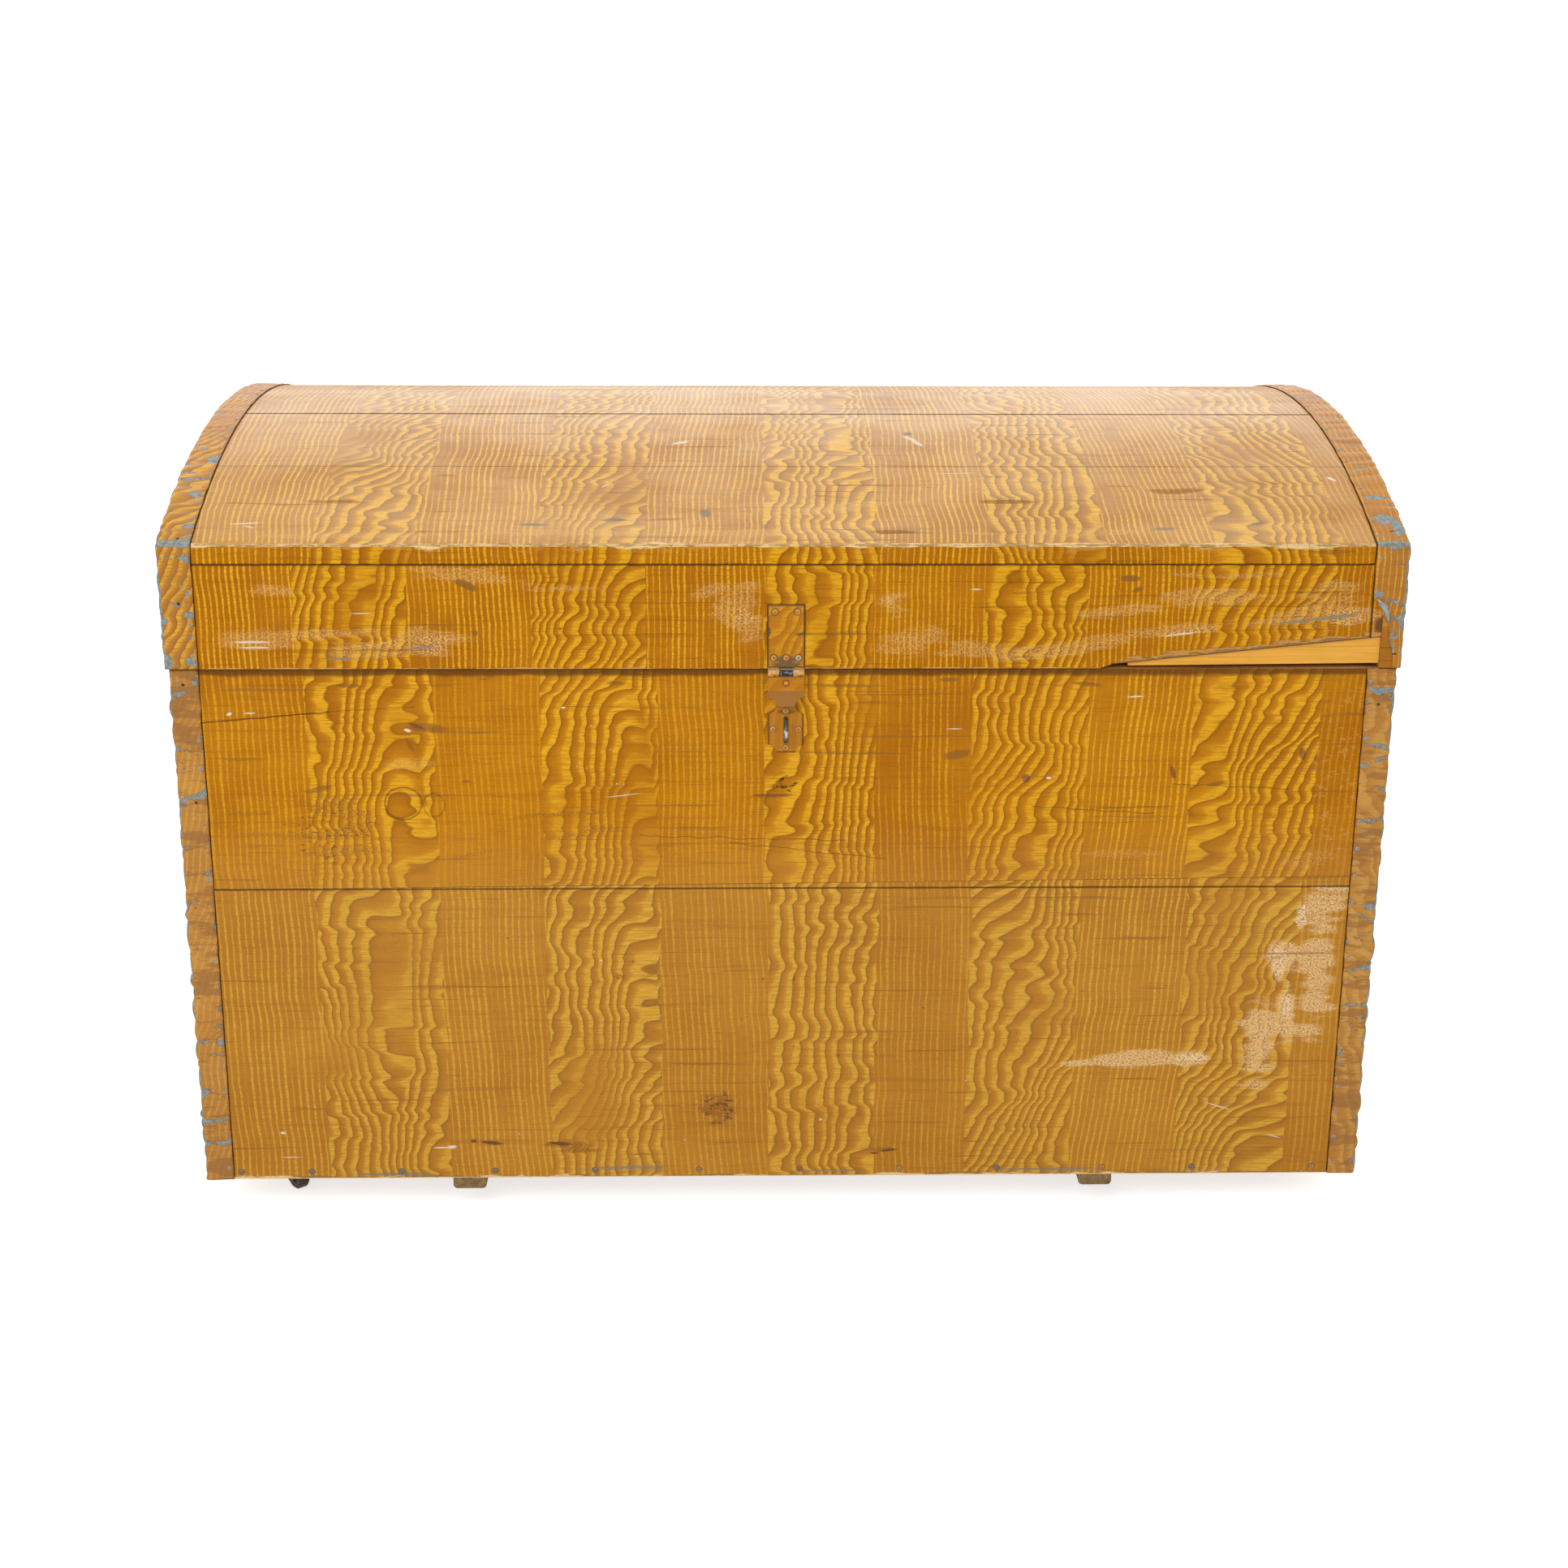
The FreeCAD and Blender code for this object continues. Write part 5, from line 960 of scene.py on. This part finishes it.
def stapleIron():
    # dark iron, with a painted highlight: pale on the front of the loop near its middle
    material, tree, shader = newMaterial("stapleIron")
    place = ownPlace(tree)
    x, y, z = split(tree, place)
    mottle = cloud(tree, place, 420.0, 4.0, 0.6)
    colour = stops(tree, mottle, [(0.35, tone(52, 46, 42)), (0.65, tone(104, 98, 92))])
    away = calc(tree, "ABSOLUTE", minus(tree, z, hasp["keeperMiddle"]))
    # painted highlight on the loop's front
    paintedGlint = times(tree, rise(tree, y, -0.363, -0.367), rise(tree, away, 0.0050, 0.0015))
    colour = blendTones(tree, times(tree, paintedGlint, rise(tree, mottle, 0.35, 0.6)), colour, tone(206, 202, 196))
    feed(tree, shader.inputs["Base Color"], colour)
    shader.inputs["Metallic"].default_value = 0.4
    feed(tree, shader.inputs["Roughness"], rise(tree, mottle, 0.3, 0.7, 0.5, 0.32))
    feed(tree, shader.inputs["Normal"], bump(tree, mottle, 0.0004))
    return material


finishes["stapleIron"] = stapleIron()


def dress(material, *names):
    for name in names:
        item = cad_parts[name]
        item.data.materials.clear()
        item.data.materials.append(material)


def soften(width, *names):
    # edges that wear has rounded off
    for name in names:
        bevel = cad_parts[name].modifiers.new("wornCorner", "BEVEL")
        bevel.width = width
        bevel.segments = 2
        bevel.limit_method = "ANGLE"
        bevel.angle_limit = math.radians(40)


dress(upperMaterial, "front_upper_board")
dress(lowerMaterial, "front_lower_board")
dress(lidMaterial, "lid_front_board")
dress(domeMaterial, *["dome_plank_" + end for end in ("front", "front_inner", "top", "back_inner", "back")])
dress(endMaterial, *[side + "_end_" + level + "_board" for side in ("left", "right") for level in ("lower", "upper")])
dress(lidEndMaterial, "lid_left_end_board", "lid_right_end_board")
dress(backMaterial, "back_lower_board", "back_upper_board", "lid_back_board")
dress(finishes["floorWood"], "floor_board_front", "floor_board_middle", "floor_board_back")
dress(finishes["runnerWood"], "left_runner", "right_runner")
dress(finishes["wedgeWood"], "repair_wedge")
corners = ["front_left", "front_right", "back_left", "back_right"]
dress(finishes["cornerNails"], "left_corner_nails", "right_corner_nails")
dress(finishes["lidNails"], "lid_strap_nails")
dress(finishes["boardNails"], "board_nails")
dress(finishes["haspRivets"], "hasp_rivets")
dress(finishes["keeperRivets"], "keeper_rivets")
dress(finishes["screwSteel"], "hinge_lid_screws", "hinge_case_screws", "handle_screws", "caster_screws", "hasp_pin",
      "hinge_pins")
dress(platePaint, "hasp_plate")
dress(leafPaint, "hasp_leaf")
dress(keeperPaint, "keeper_plate")
dress(finishes["stapleIron"], "staple")
dress(finishes["darkIron"], "left_handle", "right_handle", "handle_brackets", "hinge_case_leaves",
      "hinge_lid_leaves")
soften(0.0004, "hasp_plate", "hasp_leaf", "keeper_plate")
soften(0.0025, "left_runner", "right_runner")
dress(finishes["casterIron"], "caster_plates", *[c + "_caster_fork" for c in corners])
dress(finishes["wheelWood"], *[c + "_caster_wheel" for c in corners])
print("pieces dressed")

# Sheet-metal straps, dented and creased where they have sprung away from the wood between their nails

strapForm = {
    "thickness": 0.0008, "gap": 0.0001, "bend": 0.0022, "step": 0.0024,
    "pillow": (0.009, 0.027), "pillowHeight": 0.0029, "dent": 0.0005, "edgeWander": 0.0008, "edgeLift": 0.0005,
    "cornerWidth": 0.024, "cornerTurn": 0.026, "lidWidth": 0.028, "lidTurn": 0.022, "soften": 0.034,
}


def cornerPath(face):
    # up a corner of the case: each step is (y, z, outward y, outward z)
    y = trunk["caseFront"] if face < 0 else trunk["caseBack"]
    low, high = trunk["underside"], trunk["rim"]
    count = int((high - low) / strapForm["step"])
    return [(y, low + (high - low) * i / count, face, 0.0) for i in range(count + 1)]


def lidPath():
    # up the lid's front, over the dome and down the back
    low, edge, step = trunk["lidBottom"], trunk["lidEdge"], strapForm["step"]
    count = int((edge - low) / step)
    upFront = [(trunk["lidFront"], low + (edge - low) * i / count, -1.0, 0.0) for i in range(count)]
    half, radius = trunk["domeHalfAngle"], trunk["domeRadius"]
    turns = int(2 * half * radius / step)
    over = []
    for i in range(turns + 1):
        angle = -half + 2 * half * i / turns
        y, z = math.sin(angle), math.cos(angle)
        over.append((trunk["domeMiddle"] + radius * y, trunk["domeCentre"] + radius * z, y, z))
    downBack = [(trunk["caseBack"], z, 1.0, 0.0) for _, z, _, _ in reversed(upFront)]
    return upFront + over + downBack


def softened(path, reach):
    # outward directions averaged over a length of the path, for the part turned over the end
    span = max(1, int(reach / strapForm["step"] / 2))
    result = []
    for i in range(len(path)):
        near = path[max(0, i - span):i + span + 1]
        total = Vector((sum(p[2] for p in near), sum(p[3] for p in near)))
        result.append(total.normalized())
    return result


def makeCreases(length, seed):
    # the metal has buckled into pillows: where each crease lies, its slant, the pillow's height after it,
    # how bare the crease is, and how brown the pillow is, a brown that also stands in as painted shade
    chance = random.Random(seed)
    at, rows = -0.02, []
    while at < length + 0.03:
        rows.append((at, chance.uniform(-0.35, 0.35), chance.uniform(0.25, 1.0) ** 1.3,
                     chance.choice((0.0, 0.0, 0.5, 1.0)), chance.choice((0.0, 0.0, 0.2, 0.6, 1.0))))
        at += chance.uniform(*strapForm["pillow"])
    return rows


def strapRelief(rows, along, across, seed):
    # how far the metal stands off, how near a bared crease is, and how brown the paint is; the brown is partly painted
    # shade
    aslant = along + 0.002 * ripple.noise(Vector((along * 60, across * 90, seed + 5)))
    for first, second in zip(rows, rows[1:]):
        start, end = first[0] + first[1] * (across - 0.52), second[0] + second[1] * (across - 0.52)
        if start <= aslant < end:
            break
    share = (aslant - start) / max(end - start, 0.001)
    pillow = first[2] * max(0.0, math.sin(math.pi * share)) ** 0.65
    near = max(first[3] * (1 - (aslant - start) / 0.0035), second[3] * (1 - (end - aslant) / 0.0035), 0.0)
    dent = ripple.noise(Vector((along * 70, across * 55, seed)))
    off = strapForm["pillowHeight"] * pillow + strapForm["dent"] * dent
    return off, near, first[4] * min(1.0, share * 3, (1 - share) * 3)


def makeStrap(name, node, body, side, path, outer, width, turn, seed, lively=1.0, notch=None):
    # a strap of two legs bent over an edge: one on the face of the path, one turned over the end
    form = strapForm
    skin = form["gap"] + form["thickness"]
    bend = form["bend"]
    wide = softened(path, form["soften"])
    close = softened(path, 0.008)
    faceSteps, bendSteps, turnSteps = 11, 5, 9
    lengths = [0.0]
    for a, b in zip(path, path[1:]):
        lengths.append(lengths[-1] + math.hypot(b[0] - a[0], b[1] - a[1]))
    mesh = bmesh.new()
    places = mesh.loops.layers.uv.new("strapPlace")
    raised = mesh.verts.layers.float.new("raised")
    brownedAndShaded = mesh.verts.layers.float.new("brownedAndShaded")
    rows = makeCreases(lengths[-1], seed)
    grid, flat = [], {}
    for i, (y, z, _, _) in enumerate(path):
        t = lengths[i]
        cutBack = notch(z, y) if notch else 0.0
        wander = form["edgeWander"] * ripple.noise(Vector((t * 60, 1.0, seed + 11)))
        row = []
        for j in range(faceSteps + bendSteps + turnSteps + 1):
            if j <= faceSteps:
                share = j / faceSteps
                inner = outer - width + cutBack + wander
                x, out, q = inner + (outer + skin - bend - inner) * share, skin, share * 0.5
                lean = max(0.0, share * 1.6 - 0.6)
                turnShare = 0.0
            elif j <= faceSteps + bendSteps:
                angle = math.pi / 2 * (j - faceSteps) / bendSteps
                x = outer + skin - bend + bend * math.sin(angle)
                out, q = skin - bend + bend * math.cos(angle), 0.5
                lean, turnShare = 1.0, math.sin(angle)
            else:
                share = (j - faceSteps - bendSteps) / turnSteps
                x, out, q = outer + skin, skin - bend - (turn - bend) * share, 0.5 + share * 0.5
                lean, turnShare = 1.0, 1.0
            across = x if j <= faceSteps else outer + skin - out
            lift, near, brown = strapRelief(rows, t, across, seed)
            loose = math.sin(math.pi * min(1.0, q)) ** 0.5
            h = lift * loose * lively
            if j == 0:
                h += form["edgeLift"] * (0.5 + 0.5 * ripple.noise(Vector((t * 45, 9.0, seed))))
            direction = close[i].lerp(wide[i], lean)
            out += h * (1 - turnShare * 0.8)
            vert = mesh.verts.new((side * (x + h * turnShare), y + direction[0] * out, z + direction[1] * out))
            # the outer bend and the nailed edge are bared most
            edge = 0.5 if faceSteps + 1 < j < faceSteps + bendSteps else {0: 0.22, faceSteps + 1: 0.3}.get(j, 0.0)
            vert[raised] = min(1.0, max(near, edge))
            vert[brownedAndShaded] = brown
            flat[vert] = (across, t)
            row.append(vert)
        grid.append(row)
    for low, high in zip(grid, grid[1:]):
        for a, b, c, d in zip(low, low[1:], high[1:], high):
            face = mesh.faces.new((a, b, c, d) if side > 0 else (d, c, b, a))
            face.smooth = True
            for loop in face.loops:
                loop[places].uv = flat[loop.vert]
    mesh.normal_update()
    data = bpy.data.meshes.new(name)
    mesh.to_mesh(data)
    mesh.free()
    piece = bpy.data.objects.new(name, data)
    bpy.context.collection.objects.link(piece)
    solid = piece.modifiers.new("sheet", "SOLIDIFY")
    solid.thickness = form["thickness"]
    solid.offset = -1.0
    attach(piece, body)
    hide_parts(node)
    return piece


def strapPaint(name, kind, lean, seed, look, zincShare, worn=(), holes=()):
    # the graining, then smears that also serve as painted shade, bared metal along creases and edges, and nail holes
    # without a nail
    material, tree, shader = newMaterial(name)
    u, v, _ = split(tree, put(tree, "ShaderNodeUVMap", uv_map="strapPlace").outputs[0])
    colour, height, grime, fine = paintedSkin(tree, u, v, kind, seed, lean, look["cover"], look)
    # brown smears run across the strap; on the pillows they also stand in as painted shade
    smear = streaks(tree, u, v, 30.0, 120.0, seed * 9, 5.0, 0.62)
    brown = put(tree, "ShaderNodeAttribute", attribute_name="brownedAndShaded").outputs["Fac"]
    smear = rise(tree, plus(tree, smear, times(tree, brown, 0.16)), 0.52, 0.62)
    colour = blendTones(tree, times(tree, smear, look["smearShare"]), colour, look["smear"])
    warp = cloud(tree, spot(tree, u, v, seed), 60.0, 5.0, 0.6)
    raised = put(tree, "ShaderNodeAttribute", attribute_name="raised").outputs["Fac"]
    chips = streaks(tree, u, v, 55.0, 80.0, seed * 5, 6.0, 0.66)
    level = plus(tree, chips, times(tree, raised, 0.26))
    if worn:
        edge = minus(tree, nearest(tree, u, v, worn), times(tree, minus(tree, warp, 0.5), 2.0))
        level = plus(tree, level, rise(tree, edge, 1.1, 0.6, 0.0, 0.3))
    bare = rise(tree, level, 0.70 - zincShare, 0.715 - zincShare)
    rim = times(tree, rise(tree, level, 0.67 - zincShare, 0.70 - zincShare), minus(tree, 1.0, bare))
    tarnish = cloud(tree, spot(tree, u, v, 2.0), 240.0, 4.0, 0.6)
    metalTone = stops(tree, tarnish, [(0.35, zincTones[1]), (0.62, zincTones[0])])
    colour = blendTones(tree, times(tree, rim, 0.5), colour, look["smear"])
    colour = blendTones(tree, bare, colour, metalTone)
    # holes come last
    colour, height, _ = addMarks(tree, colour, height, u, v, holes)
    feed(tree, shader.inputs["Base Color"], colour)
    feed(tree, shader.inputs["Metallic"], times(tree, bare, 0.25))
    feed(tree, shader.inputs["Roughness"], plus(tree, 0.42, times(tree, grime, 0.2)))
    shader.inputs["Specular IOR Level"].default_value = 0.14
    shader.inputs["Coat Weight"].default_value = look["varnish"]
    shader.inputs["Coat Roughness"].default_value = 0.34
    shader.inputs["Coat IOR"].default_value = 1.6
    height = minus(tree, height, times(tree, bare, 1.2))
    height = plus(tree, height, times(tree, warp, 2.0))
    feed(tree, shader.inputs["Normal"], bump(tree, height, 0.0007))
    return material


lidStrapLook = lookLike(lidLook, (194, 126, 10), (180, 112, 8), (236, 174, 36), (146, 90, 12), seed=7.1,
                        smear=tone(166, 106, 28), wave=0.003, cover=1.0, smearShare=0.32, varnish=0.4)
bodyStrapLook = lookLike(lowerLook, (204, 144, 54), (186, 124, 40), (230, 180, 92), (146, 96, 38), seed=8.2,
                         smear=tone(154, 102, 46), wave=0.006, cover=0.42, smearShare=0.75, varnish=0.25)


def tornEdge(z, y):
    # the inner edge of the right lid strap, torn back near the lid's lower corner
    if y > 0:
        return 0.0
    level = z - trunk["lidBottom"]
    rows = [(-1.0, 0.0215), (0.011, 0.0215), (0.0135, 0.0200), (0.0176, 0.0199), (0.028, 0.0158), (0.0307, 0.0168),
            (0.041, 0.0147), (0.048, 0.0095), (0.0598, 0.0025), (0.062, 0.0), (9.0, 0.0)]
    for (z0, w0), (z1, w1) in zip(rows, rows[1:]):
        if z0 <= level <= z1:
            return w0 + (w1 - w0) * (level - z0) / (z1 - z0)
    return 0.0


black = tone(24, 20, 16)
frontHoles = {
    ("front", "left"): [(0.5255, 0.478, 0.0019, 0.0017, 0.0), (0.5215, 0.370, 0.0016, 0.0015, 0.0)],
    ("front", "right"): [(0.5235, 0.459, 0.0017, 0.0016, 0.0)],
}
lidHoles = {"left": [(0.5234, 0.0586, 0.0018, 0.0020, 0.0), (0.5222, 0.1180, 0.0018, 0.0014, 0.0)],
            "right": [(0.5330, 0.0129, 0.0032, 0.0010, 0.0), (0.5270, 0.1290, 0.0030, 0.0010, 0.2)]}


def blackHoles(rows):
    return [(black, 0.0, 0.0, 1.0, rows)] if rows else ()


for k, corner in enumerate(corners):
    depth, side = corner.split("_")
    paintHere = strapPaint(corner + "StrapPaint", 0.0 if side == "left" else 1.0, 0.25, 0.31 + 0.17 * k,
                           bodyStrapLook, 0.072, holes=blackHoles(frontHoles.get((depth, side))))
    strap = makeStrap(corner + "_bent_strap", corner + "_corner_strap", "case", -1 if side == "left" else 1,
                      cornerPath(-1 if depth == "front" else 1), trunk["halfCase"], strapForm["cornerWidth"],
                      strapForm["cornerTurn"], 20.0 + 9 * k)
    strap.data.materials.append(paintHere)
lidWorn = {
    "left": [(0.527, 0.1110, 0.060, 0.0044, 0.0), (0.5200, 0.1900, 0.0080, 0.0050, 0.3),
             (0.5300, 0.2300, 0.0100, 0.0040, 0.0), (0.5165, 0.0070, 0.0070, 0.0050, 0.5),
             (0.5380, 0.0050, 0.0055, 0.0085, 0.0),
             (0.5150, 0.0490, 0.0050, 0.0030, 0.0), (0.5160, 0.1370, 0.0080, 0.0060, 0.0), (0.5400, 0.0550, 0.0022, 0.0500, 0.0),
             (0.5150, 0.0670, 0.0040, 0.0030, 0.3), (0.5360, 0.0430, 0.0030, 0.0040, 0.0), (0.5145, 0.0980, 0.0035, 0.0060, 0.0),
             (0.5265, 0.0580, 0.0080, 0.0022, 0.6), (0.5200, 0.0740, 0.0025, 0.0020, 0.0), (0.5150, 0.0300, 0.0022, 0.0040, 0.0),
             (0.5160, 0.2600, 0.0060, 0.0120, 0.0), (0.5320, 0.2850, 0.0090, 0.0050, 0.4)],
    "right": [(0.5260, 0.1110, 0.0700, 0.0048, 0.0), (0.5400, 0.0700, 0.0030, 0.0400, 0.0), (0.5150, 0.0660, 0.0050, 0.0030, 0.2),
              (0.5320, 0.0300, 0.0060, 0.0060, 0.5), (0.5380, 0.0430, 0.0035, 0.0110, 0.0), (0.5290, 0.0190, 0.0040, 0.0060, 0.0),
              (0.5260, 0.1500, 0.0100, 0.0080, 0.0), (0.5340, 0.1350, 0.0060, 0.0140, 0.0), (0.5240, 0.1850, 0.0090, 0.0040, 0.0)],
}
for side, factor, kind, lean, seed, notch in (
        ("left", -1, 1.0, 0.5, 0.83, None), ("right", 1, 0.0, 0.0, 0.42, tornEdge)):
    paintHere = strapPaint(side + "LidStrapPaint", kind, lean, seed, lidStrapLook, 0.015, worn=lidWorn[side],
                           holes=blackHoles(lidHoles[side]))
    strap = makeStrap("lid_" + side + "_bent_strap", "lid_" + side + "_strap", "lid", factor, lidPath(),
                      trunk["halfLid"], strapForm["lidWidth"], strapForm["lidTurn"], 70.0 + 11 * factor, 0.55, notch)
    strap.data.materials.append(paintHere)
print("straps bent")

# The tongue of bare metal that the tear has folded back over the right lid strap

flap = {
    "fold": ((0.5133, 0.5884), (0.5186, 0.5795), (0.5225, 0.5728), (0.5257, 0.5668)),
    "outer": ((0.5140, 0.5884), (0.5238, 0.5830), (0.5253, 0.5776), (0.5262, 0.5672)),
    "standsOff": 0.0016, "curl": 0.0016, "thickness": 0.0006, "steps": 5,
}


def alongRow(row, share):
    # a place part of the way along a row of points
    at = min(share * (len(row) - 1), len(row) - 1.001)
    first, second = Vector(row[int(at)]), Vector(row[int(at) + 1])
    return first.lerp(second, at - int(at))


def makeFlap():
    mesh = bmesh.new()
    grid = []
    for i in range(9):
        start, end = alongRow(flap["fold"], i / 8), alongRow(flap["outer"], i / 8)
        row = []
        for j in range(flap["steps"]):
            share = j / (flap["steps"] - 1)
            x, z = start.lerp(end, share)
            z += 0.0005 * ripple.noise(Vector((i * 0.9, j * 0.7, 3.0)))
            out = flap["standsOff"] + flap["curl"] * math.sin(math.pi * 0.72 * share)
            out += 0.0003 * ripple.noise(Vector((i * 0.6, j, 8.0)))
            row.append(mesh.verts.new((x, trunk["lidFront"] - out, z)))
        grid.append(row)
    for low, high in zip(grid, grid[1:]):
        for a, b, c, d in zip(low, low[1:], high[1:], high):
            mesh.faces.new((a, b, c, d)).smooth = True
    data = bpy.data.meshes.new("right_torn_flap")
    mesh.to_mesh(data)
    mesh.free()
    piece = bpy.data.objects.new("right_torn_flap", data)
    bpy.context.collection.objects.link(piece)
    sheet = piece.modifiers.new("sheet", "SOLIDIFY")
    sheet.thickness = flap["thickness"]
    sheet.offset = 0.0
    piece.data.materials.append(metal("bareZinc", tone(172, 176, 168), tone(120, 126, 120), 0.3, 0.42, 240.0))
    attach(piece, "lid")


makeFlap()
print("torn flap made")

# The studio: a pale floor, soft light from above and in front, and the photograph's camera

studio = {
    "eye": (-0.0498, -2.39985, 1.0795), "pitch": 17.89, "yaw": 1.36, "roll": 0.29, "focal": 2983.0, "frame": 1932.0,
    "fill": 0.66, "key": 34.0, "overhead": 18.0, "behind": 45.0, "floorGlow": 0.7,
}


def makeCamera():
    data = bpy.data.cameras.new("photoCamera")
    data.sensor_width = 36.0
    data.lens = studio["focal"] / studio["frame"] * 36.0
    data.clip_start, data.clip_end = 0.05, 60.0
    camera = bpy.data.objects.new("photoCamera", data)
    bpy.context.collection.objects.link(camera)
    pitch, yaw, roll = (math.radians(studio[k]) for k in ("pitch", "yaw", "roll"))
    ahead = Vector((math.sin(yaw) * math.cos(pitch), math.cos(yaw) * math.cos(pitch), -math.sin(pitch)))
    side = Vector((math.cos(yaw), -math.sin(yaw), 0))
    over = side.cross(ahead)
    rolledSide = math.cos(roll) * side + math.sin(roll) * over
    rolledOver = math.cos(roll) * over - math.sin(roll) * side
    turn = Matrix((rolledSide, rolledOver, -ahead)).transposed()
    camera.matrix_world = Matrix.Translation(studio["eye"]) @ turn.to_4x4()
    bpy.context.scene.camera = camera


def makeLamp(name, place, aim, size, power):
    data = bpy.data.lights.new(name, "AREA")
    data.shape = "RECTANGLE"
    data.size, data.size_y = size
    data.energy = power
    lamp = bpy.data.objects.new(name, data)
    bpy.context.collection.objects.link(lamp)
    lamp.location = place
    lamp.rotation_mode = "QUATERNION"
    lamp.rotation_quaternion = (Vector(aim) - Vector(place)).to_track_quat("-Z", "Y")


def makeFloor():
    bpy.ops.mesh.primitive_plane_add(size=14.0, location=(0, 0, -0.0005))
    floor = bpy.context.object
    floor.name = "studioFloor"
    material, tree, shader = newMaterial("paleFloor")
    cloudy = cloud(tree, ownPlace(tree), 3.0, 3.0)
    pale = stops(tree, cloudy, [(0.3, tone(236, 236, 236)), (0.7, tone(242, 242, 242))])
    feed(tree, shader.inputs["Base Color"], pale)
    shader.inputs["Roughness"].default_value = 0.9
    shader.inputs["Specular IOR Level"].default_value = 0.1
    # the camera and mirrors see the floor as white, apart from the object's shadow
    output = tree.nodes["Material Output"]
    glow = put(tree, "ShaderNodeEmission")
    glow.inputs["Color"].default_value = (1, 1, 1, 1)
    path = put(tree, "ShaderNodeLightPath")
    seen = calc(tree, "MAXIMUM", path.outputs["Is Camera Ray"], path.outputs["Is Glossy Ray"])
    feed(tree, glow.inputs["Strength"], times(tree, seen, studio["floorGlow"]))
    both = put(tree, "ShaderNodeAddShader")
    feed(tree, both.inputs[0], shader.outputs[0])
    feed(tree, both.inputs[1], glow.outputs[0])
    feed(tree, output.inputs["Surface"], both.outputs[0])
    floor.data.materials.append(material)


def makeWorld():
    world = bpy.data.worlds.new("studioWorld")
    world.use_nodes = True
    tree = world.node_tree
    back = tree.nodes["Background"]
    path = put(tree, "ShaderNodeLightPath")
    seen = calc(tree, "MAXIMUM", path.outputs["Is Camera Ray"],
                calc(tree, "MAXIMUM", path.outputs["Is Glossy Ray"], path.outputs["Is Transmission Ray"]))
    back.inputs["Color"].default_value = (1, 1, 1, 1)
    feed(tree, back.inputs["Strength"], blendValues(tree, seen, studio["fill"], 1.0))
    bpy.context.scene.world = world


makeCamera()
makeFloor()
makeWorld()
makeLamp("frontSoftbox", (-1.2, -2.6, 2.4), (0, 0, 0.35), (2.0, 1.6), studio["key"])
makeLamp("overheadSoftbox", (0.2, 0.3, 3.0), (0, 0, 0.4), (2.6, 2.0), studio["overhead"])
makeLamp("backSoftbox", (0.0, 4.4, 2.3), (0, 0, 0.6), (7.0, 2.6), studio["behind"])
bpy.context.scene.view_settings.view_transform = "Standard"
print("studio set")
